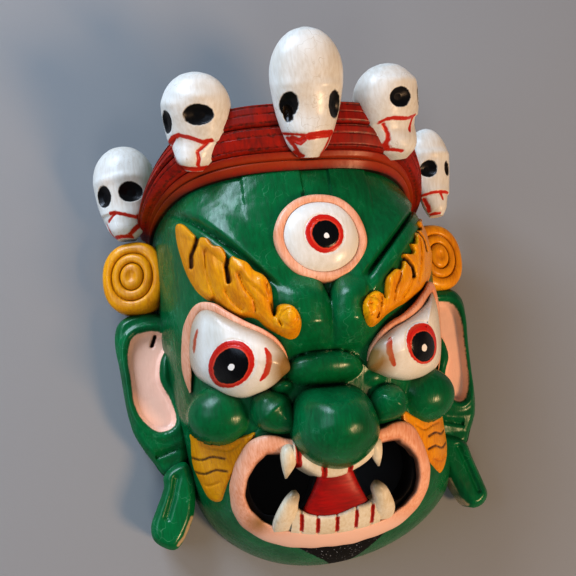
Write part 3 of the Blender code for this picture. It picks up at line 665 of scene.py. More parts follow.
# Satin enamel: a soft even pink with fine brush lines and painted brown shade in the creases, and no sharp
# highlight.
salmon = enamel("salmon_satin_enamel", "#F8C2A4", "#D88E66",
                (("pale", "#EFC4AE", 0.45), ("soil_and_shade", "#A87B4E", 0.40),
                 ("stain", "#150D0A", 0.16)), gloss=0.34, worn_colour="#A8603C",
                streak_mm=0.6, crease_shade_colour="#6E4026", crease_shade=0.8)


def grown(outline, centre, share):
    """Outline drawn in or out towards its centre by a share."""
    return centre + (np.asarray(outline) - centre) * share


third = loop_through(THIRD_EYE, THIRD_POINTS)
ring = band_rings(grown(third, THIRD_CENTRE, 0.885), np.full(THIRD_POINTS, 0.31),
                  np.full(THIRD_POINTS, 0.62), 0.8, dome, closed=True, square=0.4)
loop_piece("third_eye_ring", ring, salmon,
           dict.fromkeys(("pale", "soil_and_shade", "stain"), np.full(ring.shape[:2], NOWHERE)))


def third_top(x, y, share):
    """Ball that stands a little over its ring, with a fine cut round the iris and the pupil."""
    away = np.hypot(x - THIRD_IRIS[0], y - THIRD_IRIS[1])
    cut_line = 0.05 * bell(away - 1.14, 0.05)
    cut_line = cut_line + 0.05 * bell(away - 0.86, 0.04)
    return dome(x, y) + 0.42 + 0.72 * cap(share) - cut_line


def nowhere(x, y):
    """Field of a paint that a piece doesn't carry."""
    return np.full(np.shape(x), NOWHERE)


patch_piece("third_eye_ball", grown(third, THIRD_CENTRE, 0.80), THIRD_CENTRE, third_top, eye_ivory,
            {
                "iris": disc_field(THIRD_IRIS, (1.10, 1.13)),
                "inner": disc_field(THIRD_PUPIL, (0.86, 0.88)),
                "pupil": disc_field(THIRD_PUPIL, (0.77, 0.79)),
                # a white glint painted on the pupil
                "painted_glint": disc_field((0.31, 7.08), (0.15, 0.15)),
                "arc": nowhere, "soil_and_shade": nowhere}, rows=60)


# Eyes: bulging ivory balls under a thick salmon lid, which runs up the temple side to a point and
# down again to the root of the nose. The lower edge of each ball hangs over the cheek.
BALL_OUT = {
    -1: ((2.27, 0.05), (2.45, 0.75), (2.95, 1.55), (3.7, 2.15), (4.7, 2.75), (5.75, 3.5),
         (6.5, 4.05), (7.0, 4.15), (7.5, 3.75), (7.75, 2.9), (7.8, 1.5), (7.45, 0.55),
         (6.81, -0.1), (5.94, -0.85), (4.95, -1.19), (4.02, -1.06), (3.26, -0.75), (2.7, -0.33)),
    1: ((2.27, -0.15), (2.45, 0.62), (2.95, 1.25), (3.75, 1.8), (4.6, 2.2), (5.6, 2.8), (6.5, 3.5),
        (7.15, 4.2), (7.6, 3.7), (7.85, 2.9), (7.95, 1.6), (7.85, 0.4), (7.3, -0.35),
        (6.1, -0.9), (4.8, -1.1), (3.7, -0.92), (2.95, -0.65), (2.5, -0.42)),
}
LID_PATH = {
    -1: ((7.86, -0.3), (7.93, 0.5), (7.96, 1.5), (7.85, 2.6), (7.6, 3.6), (7.05, 4.2), (6.4, 4.0),
         (5.7, 3.4), (4.7, 2.65), (3.75, 2.1), (3.0, 1.5), (2.55, 0.85), (2.33, 0.2)),
    1: ((8.0, -0.5), (8.15, 0.5), (8.15, 1.6), (8.0, 2.8), (7.75, 3.8), (7.3, 4.45), (6.6, 3.8),
        (5.7, 2.95), (4.7, 2.3), (3.8, 1.9), (3.0, 1.3), (2.55, 0.75), (2.33, 0.1)),
}
LID_HALF = ((0.0, 0.06), (0.1, 0.26), (0.25, 0.33), (0.42, 0.36), (0.55, 0.36), (0.7, 0.32),
            (0.88, 0.24), (1.0, 0.08))
LID_TALL = ((0.0, 0.3), (0.1, 0.7), (0.3, 1.05), (0.5, 1.15), (0.75, 1.1), (0.9, 0.9), (1.0, 0.3))
EYE_MIDDLE, BALL_POINTS, LID_POINTS = (5.4, 0.85), 180, 150
SOIL_REACH, LID_SHADE_REACH = 1.15, 0.36
IRIS = {-1: ((5.58, 0.58), (1.22, 1.22)), 1: ((5.48, 0.73), (1.2, 1.13))}
PUPIL = {-1: ((5.61, 0.46), (0.92, 0.92)), 1: ((5.50, 0.54), (0.93, 0.83))}
GLINT = {-1: ((5.61, 0.38), 0.17), 1: ((5.50, 0.45), 0.2)}
INNER_ARC = {-1: ((3.72, 1.15), (3.55, 0.75), (3.58, 0.3), (3.75, -0.2), (4.1, -0.55)),
             1: ((3.42, 1.15), (3.28, 0.7), (3.26, 0.35), (3.4, -0.1), (3.6, -0.42))}
OUTER_ARC = {-1: ((7.22, 2.95), (7.42, 2.4), (7.52, 1.72)), 1: ((7.6, 2.6), (7.7, 2.0))}


def curve_through(points, count):
    """Open smooth curve through a few points, read at even steps."""
    p = np.asarray(points, float)
    knots = np.concatenate([[0], np.cumsum(np.linalg.norm(np.diff(p, axis=0), axis=1))])
    t = np.linspace(0, knots[-1], count)
    return np.column_stack([through(t, np.column_stack([knots, p[:, k]]))
                            for k in range(p.shape[1])])


def mirrored(side, points):
    """Points for the right side as they are, and for the left side with x turned round."""
    return np.asarray(points, float) * np.array([side] + [1] * (np.shape(points)[-1] - 1))


def brush_field(line, widest):
    """Below zero inside a brush stroke that is widest in the middle of its line."""
    line = np.asarray(line, float)
    middle, reach = line.mean(axis=0), np.linalg.norm(line[-1] - line[0]) / 2

    def field(x, y):
        share = np.hypot(x - middle[0], y - middle[1]) / reach
        return line_distance(x, y, line) - widest * np.sqrt(np.clip(1.15 - share**2, 0.02, 1))
    return field


for side, label in SIDES:
    centre = mirrored(side, EYE_MIDDLE)
    iris_at, iris_size = mirrored(side, IRIS[side][0]), IRIS[side][1]
    pupil_at, pupil_size = mirrored(side, PUPIL[side][0]), PUPIL[side][1]

    def ball_top(x, y, share):
        """Ball that rises steeply from its edge, with a fine cut round the iris."""
        away = np.hypot(x - iris_at[0], y - iris_at[1]) / iris_size[0]
        cut_line = 0.06 * bell(away - 1.03, 0.04)
        cut_line = cut_line + 0.05 * bell(away - 0.80, 0.03)
        return dome(x, y) + 0.45 + 1.75 * cap(share, 2.1) - cut_line

    outline = mirrored(side, loop_through(BALL_OUT[side], BALL_POINTS))
    line = mirrored(side, curve_through(LID_PATH[side], LID_POINTS))
    patch_piece("eyeball_" + label, outline, centre, ball_top, eye_ivory, {
        "iris": disc_field(iris_at, iris_size),
        "inner": disc_field(pupil_at, [r * 1.08 for r in pupil_size]),
        "pupil": disc_field(pupil_at, pupil_size),
        # a white glint painted on the pupil
        "painted_glint": disc_field(mirrored(side, GLINT[side][0]), [GLINT[side][1]] * 2),
        "arc": lambda x, y: np.minimum(brush_field(mirrored(side, INNER_ARC[side]), 0.17)(x, y),
                                       brush_field(mirrored(side, OUTER_ARC[side]), 0.09)(x, y)),
        # brown soil in the inner corner, and painted shade along the lid where it overhangs the ball
        "soil_and_shade": lambda x, y: np.minimum(np.hypot(x - side * 2.3, y) - SOIL_REACH,
                                        line_distance(x, y, line) - LID_SHADE_REACH)}, rows=64)
    t = np.linspace(0, 1, LID_POINTS)
    lid = band_rings(line, through(t, LID_HALF), through(t, LID_TALL), 0.8, dome, square=0.6)
    rings_piece("eyelid_" + label, lid, salmon,
                dict.fromkeys(("pale", "soil_and_shade", "stain"), np.full((LID_POINTS, 1), NOWHERE)))


# Brows: leaves of flame in orange, cut as one flat sheet that dips under the green at its edge.
# Two deep slits and a few veins run into the leaf, and its inner end rolls up in a curl.
BROW_OUT = {
    -1: ((7.95, 9.75), (7.52, 9.53), (7.09, 8.78), (6.85, 8.42), (6.45, 8.15), (6.21, 7.98),
         (5.97, 7.49), (5.52, 7.25), (5.22, 6.62), (4.95, 6.58), (4.77, 6.43), (4.16, 6.09),
         (3.85, 5.55), (3.31, 5.31), (3.10, 4.70), (3.06, 3.82), (2.98, 3.00), (2.83, 3.36),
         (2.51, 3.47), (2.04, 3.24), (1.71, 2.71), (1.64, 2.16), (1.82, 1.67), (2.25, 1.58),
         (2.78, 1.93), (3.46, 2.39), (3.88, 2.91), (4.30, 3.13), (5.00, 3.25), (5.70, 3.79),
         (6.10, 4.45), (6.46, 4.62), (7.06, 5.36), (7.55, 6.55), (7.85, 7.90), (8.0, 9.00)),
    1: ((7.7, 9.4), (7.34, 8.95), (6.75, 8.45), (6.95, 8.1), (6.31, 7.67), (6.06, 6.88), (5.6, 6.75),
        (5.74, 6.21), (4.95, 6.05), (4.87, 5.69), (4.69, 5.19), (4.2, 5.06), (3.65, 4.57),
        (3.52, 4.0), (3.42, 3.45), (3.3, 3.72), (2.89, 3.83), (2.3, 3.57), (1.95, 2.99),
        (2.06, 2.25), (2.58, 1.93), (3.57, 2.57), (4.46, 3.08), (5.73, 3.68), (6.95, 4.45),
        (7.9, 5.6), (8.4, 7.0), (8.45, 8.4), (8.2, 9.3)),
}
BROW_SLITS = {
    -1: (((6.75, 8.3), (6.95, 7.8), (7.22, 7.35), (7.25, 6.75)),
         ((5.2, 6.65), (5.36, 6.0), (5.3, 5.15))),
    1: (((6.3, 7.8), (6.9, 7.3), (7.1, 6.7)), ((5.0, 5.7), (5.5, 5.3), (5.6, 4.8))),
}
BROW_VEINS = (((6.45, 7.2), (6.45, 6.2), (6.3, 5.4), (6.05, 4.6)),
              ((4.75, 5.4), (4.5, 4.6), (4.1, 3.9), (4.0, 3.3)),
              ((3.35, 4.6), (3.2, 3.7), (3.0, 2.85), (2.7, 2.3)),
              ((5.5, 4.7), (5.2, 4.1), (4.7, 3.5)))


def sheet_piece(name, outline, step, height, material, attributes=None, deep=0.4):
    """Thin carved layer over the head: grid cells inside an outline, closed by an under side.

    The cells run a little past the outline, where the top has dipped under the head's skin.
    """
    low, high = outline.min(axis=0) - 0.4, outline.max(axis=0) + 0.4
    x, y = np.meshgrid(np.arange(low[0], high[0], step), np.arange(low[1], high[1], step))
    edge = inside_distance(x, y, outline)
    keep = (edge[:-1, :-1] + edge[1:, 1:]) / 2 < 0.22
    for _ in range(3):
        a, b, c, d = keep[:-1, :-1], keep[1:, 1:], keep[:-1, 1:], keep[1:, :-1]
        c |= a & b & ~d
        a |= c & d & ~b
    z = height(x, y)
    under = np.minimum(z, dome(x, y)) - deep
    rows, cols = x.shape
    i = np.arange(rows * cols).reshape(rows, cols)
    cells = np.stack([i[:-1, :-1], i[:-1, 1:], i[1:, 1:], i[1:, :-1]], -1)[keep]
    sides = np.concatenate([cells[:, [k, (k + 1) % 4]] for k in range(4)])
    key = np.sort(sides, axis=1) @ (rows * cols, 1)
    _, first, times = np.unique(key, return_index=True, return_counts=True)
    rim = sides[first[times == 1]]
    used, number = np.unique(cells, return_inverse=True)
    count = len(used)
    place = np.full(rows * cols, -1)
    place[used] = np.arange(count)
    cells, rim = number.reshape(-1, 4), place[rim]
    wall = np.column_stack([rim[:, 1], rim[:, 0], rim[:, 0] + count, rim[:, 1] + count])
    faces = cells.tolist() + (cells[:, ::-1] + count).tolist() + wall.tolist()
    flat = np.column_stack([x.ravel()[used], y.ravel()[used]])
    points = np.vstack([np.column_stack([flat, z.ravel()[used]]),
                        np.column_stack([flat, under.ravel()[used]])])
    fields = {}
    for key, field in (attributes or {}).items():
        fields[key] = np.tile(field(x, y).ravel()[used], 2)
    return put(name, points, faces, material, fields)


# Gloss enamel over carved wood: warm orange with painted brown shade in every cut and crease and dark
# painted shade in the slits, with hard highlights.
orange = enamel("orange_gloss_enamel", "#F6AC0E", "#CC7C0A", (("cut", "#4A2A12", 0.05),),
                gloss=0.28, crease_shade=0.88, crease_shade_colour="#33200F", streak_mm=0.7, worn_colour="#8A5A20")


for side, label in SIDES:
    leaf = mirrored(side, loop_through(BROW_OUT[side], 260))
    slits = [mirrored(side, line) for line in BROW_SLITS[side]]
    veins = [mirrored(side, curve_through(line, 24)) for line in BROW_VEINS]
    curl = (side * 2.35, 2.55)

    def brow_height(x, y):
        """Skin of the head plus a leaf with rounded edges, slits, veins and the inner curl."""
        edge = inside_distance(x, y, leaf)
        rise = np.clip(-edge / 0.16, -1.2, 1)
        z = face_height(x, y) + 0.38 * rise + 0.28 * np.clip(-edge / 0.9, 0, 1) ** 0.7
        for line in slits:
            z = z - 0.42 * bell(line_distance(x, y, line), 0.13)
        for line in veins:
            away = line_distance(x, y, line)
            z = z - 0.16 * bell(away, 0.07) + 0.07 * bell(away - 0.3, 0.2)
        z = z + 0.42 * bump(x, y, curl, (0.72, 0.85)) * (edge < 0)
        swirl = np.abs(np.hypot(x - curl[0], y - curl[1]) - 0.45)
        return z - 0.12 * bell(swirl, 0.06) * (edge < -0.1)

    def slit_field(x, y):
        """Distance to the nearest slit, less half the dark line's width."""
        return np.minimum(*[line_distance(x, y, line) for line in slits]) - 0.12

    # the slits are painted dark brown, as painted shade in them
    sheet_piece("brow_" + label, leaf, 0.062, brow_height, orange,
                {"cut": slit_field})


# Nose: a drooping bulb that hangs over the upper teeth, with a rounded wing on each side of it,
# all in the green of the face.
NOSE_OUT = ((0.0, -0.88), (-1.3, -0.95), (-2.1, -1.55), (-2.42, -2.6), (-2.48, -3.8), (-2.05, -4.7),
            (-1.25, -5.38), (-0.1, -5.74), (0.85, -5.66), (1.72, -5.2), (2.4, -4.5), (2.65, -3.7),
            (2.5, -2.7), (2.1, -1.65), (1.3, -1.0))
NOSE_MIDDLE, NOSE_FOOT = (0.0, -3.2), 8.9
WINGS = {
    -1: ((-4.55, -1.6), (-4.15, -0.9), (-3.35, -0.8), (-2.5, -1.15), (-2.1, -2.0), (-2.0, -3.3),
         (-2.9, -3.5), (-3.95, -3.15), (-4.55, -2.45)),
    1: ((2.1, -2.3), (2.75, -1.4), (3.6, -1.15), (4.35, -1.5), (4.68, -2.3), (4.35, -3.05),
        (3.5, -3.4), (2.5, -3.4)),
}


def nose_top(x, y, share):
    """Bulb: highest low down, hanging over at the tip, a little flat on its left flank."""
    crest = 10.2 + 2.5 * cap((y + 3.6) / 3.3)
    crest = crest - 0.5 * np.clip((y + 2.2) / 1.8, 0, 1)
    return NOSE_FOOT + (crest - NOSE_FOOT) * np.clip(1 - share**2.1, 0, 1) ** 0.54


all_green = dict.fromkeys(("mouth_black_and_shade", "bare_back", "goatee"), nowhere)
patch_piece("nose", loop_through(NOSE_OUT, 200), NOSE_MIDDLE, nose_top, green,
            all_green, rows=60)
for side, label in SIDES:
    outline = loop_through(WINGS[side], 120)
    centre = outline.mean(axis=0)

    def wing_top(x, y, share):
        """Button with a soft ridge across it."""
        ridge = 0.18 * bell((y - centre[1]) + side * 0.7 * (x - centre[0]), 0.35)
        return 8.7 + (1.55 + ridge) * cap(share, 2.4)

    patch_piece("nose_wing_" + label, outline, centre, wing_top, green, all_green)


# Cheek plates: flat orange leaves between the cheek balls and the lips, with a dark cut all
# round and a few curved cuts across them.
PLATES = {
    -1: ((7.9, -2.3), (8.06, -3.4), (8.02, -4.63), (7.68, -5.65), (7.32, -6.53), (6.94, -6.89),
         (6.52, -6.88), (6.34, -6.48), (6.05, -5.77), (5.54, -5.0), (5.09, -4.41), (4.7, -3.81),
         (4.4, -3.25), (4.87, -3.25), (5.5, -3.3), (6.32, -3.3), (7.16, -2.9)),
    1: ((4.4, -2.75), (5.1, -3.1), (5.85, -3.3), (7.0, -3.3), (7.9, -2.9), (8.25, -3.2), (8.4, -4.5),
        (8.2, -5.4), (7.8, -6.2), (7.3, -6.7), (6.9, -6.6), (6.18, -5.97), (5.45, -5.19),
        (4.73, -4.20), (4.3, -3.36)),
}
PLATE_CUTS = (((8.1, -4.1), (7.5, -4.35), (6.9, -4.25), (6.2, -4.45)),
              ((8.1, -4.9), (7.4, -5.2), (6.7, -5.05), (6.1, -5.2)),
              ((7.8, -5.7), (7.2, -5.95), (6.6, -5.8)),
              ((5.3, -3.7), (5.9, -4.0), (6.6, -3.8), (7.4, -3.6)))


for side, label in SIDES:
    plate = mirrored(side, loop_through(PLATES[side], 160))
    cuts = [mirrored(side, curve_through(line, 20)) for line in PLATE_CUTS]

    def plate_height(x, y):
        """Skin of the head plus a thin plate with soft edges and cuts."""
        edge = inside_distance(x, y, plate)
        z = face_height(x, y, cheeks=False) + 0.16 * np.clip(-edge / 0.12, -1.6, 1)
        z = z + 0.10 * np.clip(-edge / 0.8, 0, 1)
        for line in cuts:
            z = z - 0.13 * bell(line_distance(x, y, line), 0.07) * (edge < -0.15)
        return z

    # two of the cross cuts are painted dark brown, as painted shade in them
    sheet_piece("cheek_plate_" + label, plate, 0.06, plate_height, orange,
                {"cut": lambda x, y: np.minimum(*[line_distance(x, y, c) for c in cuts[:2]]) - 0.06})


# Lips: one flat salmon band round the whole mouth, cut proud of the muzzle.
LIP = ((0.0, -4.3), (2.4, -4.2), (4.1, -4.0), (5.2, -5.1), (5.6, -6.6), (5.15, -8.0), (3.7, -9.15),
       (1.7, -9.65), (0.0, -9.75), (-1.7, -9.65), (-3.7, -9.15), (-5.15, -8.0), (-5.6, -6.6),
       (-5.2, -5.1), (-4.1, -4.0), (-2.4, -4.2))
LIP_POINTS, LIP_TALL, BAND_SIDES = 300, 0.72, 26
lip_line = loop_through(LIP, LIP_POINTS)
lip_half = 0.46 + 0.06 * np.clip((-7.2 - lip_line[:, 1]) / 1.5, 0, 1)
corner = np.hypot(np.abs(lip_line[:, 0]) - 4.3, lip_line[:, 1] + 4.5)
lip_half = lip_half + 0.20 * bell(corner, 0.9)
# the knife's unevenness: two waves that don't fall in step
step = np.arange(LIP_POINTS)
lip_half = lip_half + 0.02 * np.sin(step * 0.19) + 0.015 * np.sin(step * 0.47)
lip_rings = band_rings(lip_line, lip_half, np.full(LIP_POINTS, LIP_TALL), 1.2, dome, closed=True,
                       sides=BAND_SIDES, square=0.42)
inwards = np.cos(turns(BAND_SIDES)) + 0.86
# the lower lip is painted paler, partly its own paint and partly painted light where it faces the lamps;
# the stain is black paint run onto the inner edge, and the soil a brown stain at the left corner
loop_piece("lips", lip_rings, salmon,
           {"stain": inwards * 0.6 + 2.0 * (lip_rings[..., 1] < -8.4),
            "soil_and_shade": np.hypot(lip_rings[..., 0] + 4.5, lip_rings[..., 1] + 8.3) - 0.5,
            "pale": lip_rings[..., 1] + 8.9})


# Teeth: an upper strip that follows the under side of the nose and a lower row on the lip, both
# ivory with red lines in the cuts, and four fangs with grimy tips.
# Satin enamel: dull yellowish ivory like old bone, with painted brown shade in the gaps and grey at the
# fangs' tips.
ivory = enamel("ivory_satin_enamel", "#EBE2CC", "#D2C09E", (("red", "#B3261B", 0.03),
                                                          ("grime", "#46402C", 0.4)),
               gloss=0.3, crease_shade_colour="#4E3826", crease_shade=0.85)
UPPER_EDGE = ((-2.45, -5.05), (-2.15, -5.31), (-1.53, -5.78), (-1.06, -6.05), (-0.41, -6.18),
              (0.17, -6.16), (0.86, -5.96), (1.82, -5.50), (2.3, -5.1))
UPPER_GAPS = (-2.19, -0.79, 0.72)
LOWER_TOP = ((-2.6, -7.55), (-2.23, -7.70), (-1.74, -8.0), (-0.92, -8.21), (0.0, -8.2),
             (1.02, -7.91), (1.98, -7.74), (2.5, -7.5))
LOWER_GAPS = (-2.12, -1.19, -0.05, 1.10, 2.07)
# share of the way over a tooth, and the share of its lift that it has there
TOOTH_PROFILE = np.array([
    (-0.02, 0.0, 0.03, 0.1, 0.18, 0.25, 0.4, 0.55, 0.7, 0.78, 0.85, 0.95, 1.0, 1.02),
    (-1.6, 0.25, 0.7, 0.92, 0.97, 1.0, 1.0, 1.0, 1.0, 0.97, 0.92, 0.7, 0.25, -1.6)])


def tooth_strip(name, low, high, gaps, lift, brush, reach):
    """Row of teeth between two edges, with cuts at the gaps and red paint in them.

    Brush is the half width of the red stroke and reach its half length as a share of the tooth.
    """
    low, high = np.asarray(low), np.asarray(high)
    cols = len(low)
    share, proud = TOOTH_PROFILE
    x = low[:, :1] + (high - low)[:, :1] * share
    y = low[:, 1:] + (high - low)[:, 1:] * share
    gap = np.min([np.abs(x - g) for g in gaps], axis=0)
    z = dome(x, y) + np.where(proud > 0, lift * proud, proud)
    z = z - np.where(proud > 0, 0.16 * bell(gap, 0.06), 0)
    rings = np.stack([x, y, z], -1)
    stroke = np.maximum(gap - brush, np.abs(share - 0.5) - reach)
    fields = {"red": stroke, "grime": np.full((cols, len(share)), NOWHERE)}
    return rings_piece(name, rings, ivory, fields)


upper_low = curve_through(UPPER_EDGE, 150)
tooth_strip("upper_teeth", upper_low, upper_low + (0.0, 1.3), UPPER_GAPS, 1.0, 0.17, 0.6)
lower_high = curve_through(LOWER_TOP, 150)
lower_low = np.column_stack([lower_high[:, 0] * 1.05, -9.5 + 0.05 * lower_high[:, 0] ** 2])
tooth_strip("lower_teeth", lower_low, lower_high, LOWER_GAPS, 0.78, 0.12, 0.34)

FANGS = (
    # name, line from root to tip (x, y, height over the muzzle, half width)
    ("upper_fang_left", ((-2.62, -3.9, 0.5, 0.42), (-2.68, -4.6, 0.95, 0.52),
                         (-2.75, -5.2, 1.0, 0.42), (-2.92, -5.95, 0.8, 0.06))),
    ("upper_fang_right", ((2.3, -4.0, 0.5, 0.4), (2.32, -4.6, 0.95, 0.42), (2.38, -5.2, 1.0, 0.32),
                          (2.52, -5.85, 0.8, 0.06))),
    ("lower_fang_left", ((-3.05, -8.95, 0.3, 0.75), (-3.0, -8.2, 0.75, 0.74),
                         (-2.85, -7.5, 0.85, 0.56), (-2.6, -6.9, 0.85, 0.38),
                         (-2.52, -6.62, 0.8, 0.12))),
    ("lower_fang_right", ((2.85, -8.95, 0.3, 0.72), (2.8, -8.2, 0.75, 0.7),
                          (2.65, -7.5, 0.85, 0.55), (2.4, -6.9, 0.85, 0.42),
                          (2.3, -6.58, 0.8, 0.12))),
)
for name, line in FANGS:
    spine = curve_through(line, 48)
    a = turns(28)
    facet = np.abs(np.cos(1.5 * a)) * 0.1 + 0.93
    x = spine[:, :1] + spine[:, 3:] * np.cos(a) * facet
    y = np.broadcast_to(spine[:, 1:2], x.shape)
    z = dome(spine[:, 0], spine[:, 1])[:, None] + spine[:, 2:3] - 0.35
    z = z + spine[:, 3:] * np.sin(a) * facet * np.where(np.sin(a) > 0, 1.0, 1.4)
    tip = np.array(line[-1][:2])
    grime = np.hypot(x - tip[0], y - tip[1]) - (0.5 if "lower" in name else 0.05)
    rings_piece(name, np.stack([x, y, z], -1), ivory,
                {"red": np.full(x.shape, NOWHERE), "grime": grime})


# Tongue: a thick dark red apron that widens towards the lower teeth, brushed crosswise.
# The enamel is brushed from side to side and half dull: a dark wet red with crosswise streaks.
tongue_red = enamel("red_gloss_enamel", "#B01410", "#7C0E0A", gloss=0.42, stroke=(0.12, 1.0, 1.0),
                    crease_shade=0.8, crease_shade_colour="#1A0C08", streak_mm=0.8)
t = np.linspace(0, 1, 60)[:, None]
a = turns(44)
x = (0.95 + 1.45 * t**1.4) * signed_power(np.cos(a), 0.8)
y = np.broadcast_to(-5.5 - 2.95 * t, x.shape)
z = dome(x, y) + np.where(np.sin(a) > 0, 0.5 * np.abs(np.sin(a)) ** 0.7, 1.3 * np.sin(a))
rings_piece("tongue", np.stack([x, y, z], -1), tongue_red)


# Ears: thick green slabs with a rolled rim round a salmon hollow, which is notched by a small
# knob. A leaf-shaped pendant with a shallow groove hangs under each.
EAR_THICKNESS, EAR_LIFT = 0.0200 / UNIT, 0.0080 / UNIT
EARS = {
    -1: ((8.5, 5.1), (9.3, 5.45), (10.2, 5.66), (11.4, 5.5), (12.15, 5.0), (12.42, 4.2),
         (12.42, 3.2), (12.24, 2.0), (12.1, 0.6), (11.9, -0.95), (11.6, -2.2), (11.1, -3.2),
         (10.5, -4.15), (9.8, -5.1), (8.6, -5.2), (8.2, -2.0), (8.4, 2.0)),
    1: ((8.5, 5.3), (9.5, 5.8), (10.5, 5.72), (11.3, 5.4), (11.75, 4.6), (11.75, 3.3), (11.6, 1.8),
        (11.5, -0.3), (11.5, -2.0), (11.3, -3.2), (10.85, -4.4), (10.3, -5.2), (8.6, -5.2),
        (8.2, -2.0), (8.4, 2.0)),
}
BOWLS = {
    -1: ((11.45, 3.70), (10.91, 4.19), (9.86, 4.30), (9.11, 3.90), (8.88, 3.34), (9.24, 2.85),
         (9.58, 2.20), (9.69, 1.17), (9.48, 0.49), (9.14, -0.19), (8.84, -1.25), (8.89, -1.88),
         (9.42, -2.25), (10.18, -2.22), (11.01, -1.41), (11.45, -0.34), (11.55, 1.08),
         (11.68, 2.66)),
    1: ((9.0, 4.5), (9.67, 4.72), (10.53, 4.62), (11.05, 4.14), (11.3, 3.27), (11.27, 1.85),
        (11.2, 0.03), (11.12, -0.93), (10.85, -1.87), (10.4, -2.32), (9.8, -2.15), (9.4, -1.5),
        (9.5, -0.3), (9.9, 0.8), (9.7, 2.0), (9.0, 3.2)),
}
KNOBS = {-1: (9.15, 1.5), 1: (9.3, 1.0)}
EAR_SLOT = ((-9.85, 4.0), (-10.08, 3.4))
PENDANTS = {
    -1: ((8.4, -4.4), (9.3, -4.5), (9.9, -5.1), (9.95, -5.8), (10.5, -7.05), (10.88, -7.96),
         (10.8, -8.8), (10.2, -9.36), (9.47, -9.56), (8.85, -8.93), (8.2, -7.57), (8.0, -5.8)),
    1: ((8.4, -4.5), (9.6, -4.6), (10.3, -5.1), (10.58, -6.13), (11.02, -7.62), (11.21, -8.55),
        (10.76, -9.14), (10.04, -9.3), (9.55, -8.87), (9.0, -7.78), (8.5, -6.6)),
}
PENDANT_GROOVE = {-1: ((9.1, -5.3), (9.4, -6.4), (9.85, -7.6)),
                  1: ((9.6, -5.3), (10.1, -6.8), (10.5, -8.2))}
PENDANT_BARE = {-1: ((-8.35, -7.75), (-8.85, -8.8), (-9.3, -9.3)),
                1: ((8.75, -7.3), (9.2, -8.5), (9.7, -9.1))}


def slab_piece(name, outline, relief, material, thickness, attributes=None, rows=56):
    """Slab with a flat back and rounded edges, its front shaped by a relief of x and y."""
    outline = np.asarray(outline, float)
    centre = outline.mean(axis=0)
    front = np.sin(np.linspace(math.pi / 2, 0.02, rows))
    share = np.concatenate([[0.05, 0.95, 0.985, 1.0, 1.0], front])[:, None]
    x = centre[0] + (outline[:, 0] - centre[0]) * share
    y = centre[1] + (outline[:, 1] - centre[1]) * share
    edge = -inside_distance(x, y, outline)
    high = EAR_LIFT + thickness - 0.45 * (1 - np.clip(edge / 0.5, 0, 1)) ** 2
    z = high + relief(x, y)
    z[:5] = EAR_LIFT + np.array([0.0, 0.0, 0.06, 0.25, thickness - 0.75])[:, None]
    fields = {key: field(x, y) for key, field in (attributes or {}).items()}
    return rings_piece(name, np.stack([x, y, z], -1), material, fields)


# The face's gloss green, with salmon in the bowls, painted shade in the slot, and pale wood where a
# pendant's edge is rubbed.
green_ear = enamel("green_gloss_enamel_ears", streak_mm=0.8, crease_shade=0.45,
                   layers=(("bowl", "#F8C8B0", 0.03), ("slot", "#17100C", 0.03),
                           ("bare", "#B59F7C", 0.04)), **GREEN)
for side, label in SIDES:
    bowl = mirrored(side, loop_through(BOWLS[side], 120))
    knob = mirrored(side, KNOBS[side])
    groove = mirrored(side, PENDANT_GROOVE[side])

    def ear_relief(x, y):
        """Sunk bowl inside a rolled rim, and the knob that pushes into it."""
        edge = inside_distance(x, y, bowl)
        sunk = -0.55 * np.clip(-edge / 0.28, 0, 1) ** 0.6
        rim = 0.16 * bell(edge - 0.3, 0.22)
        lump = 0.25 * np.exp(-(((x - knob[0]) / 0.45) ** 2 + ((y - knob[1]) / 0.7) ** 2)) * (edge > 0)
        below = -0.35 * np.clip((-3.3 - y) / 1.0, 0, 1)
        crease = -0.25 * bell(y + 3.55 + 0.25 * (np.abs(x) - 9.3), 0.16)
        slot_cut = -0.35 * bell(line_distance(x, y, EAR_SLOT), 0.12)
        return sunk + rim + lump + below + crease * (np.abs(x) < 10.3) + slot_cut

    slab_piece("ear_" + label, mirrored(side, loop_through(EARS[side], 200)), ear_relief, green_ear,
               EAR_THICKNESS,
               {"bowl": lambda x, y: inside_distance(x, y, bowl) + 0.02,
                # the slot is painted near black, as painted shade in its cut
                "slot": stroke_field(EAR_SLOT, 0.11), "bare": nowhere})

    def pendant_relief(x, y):
        """Low crown with a shallow groove down the middle."""
        return 0.15 - 0.22 * bell(line_distance(x, y, groove), 0.2)

    slab_piece("pendant_" + label, mirrored(side, loop_through(PENDANTS[side], 140)), pendant_relief,
               green_ear, EAR_THICKNESS,
               {"bowl": nowhere, "slot": nowhere, "bare": stroke_field(PENDANT_BARE[side], 0.09)})


# Ear discs: orange studs with two ring grooves, set over the ears and leaning outwards.
DISC_PLACE = {-1: (10.75, 7.95, 2.15, 2.45), 1: (9.9, 7.85, 2.1, 2.4)}
DISC_LEAN, DISC_HIGH, DISC_SQUARE, DISC_POINTS = 0.28, 2.1, 2.35, 120
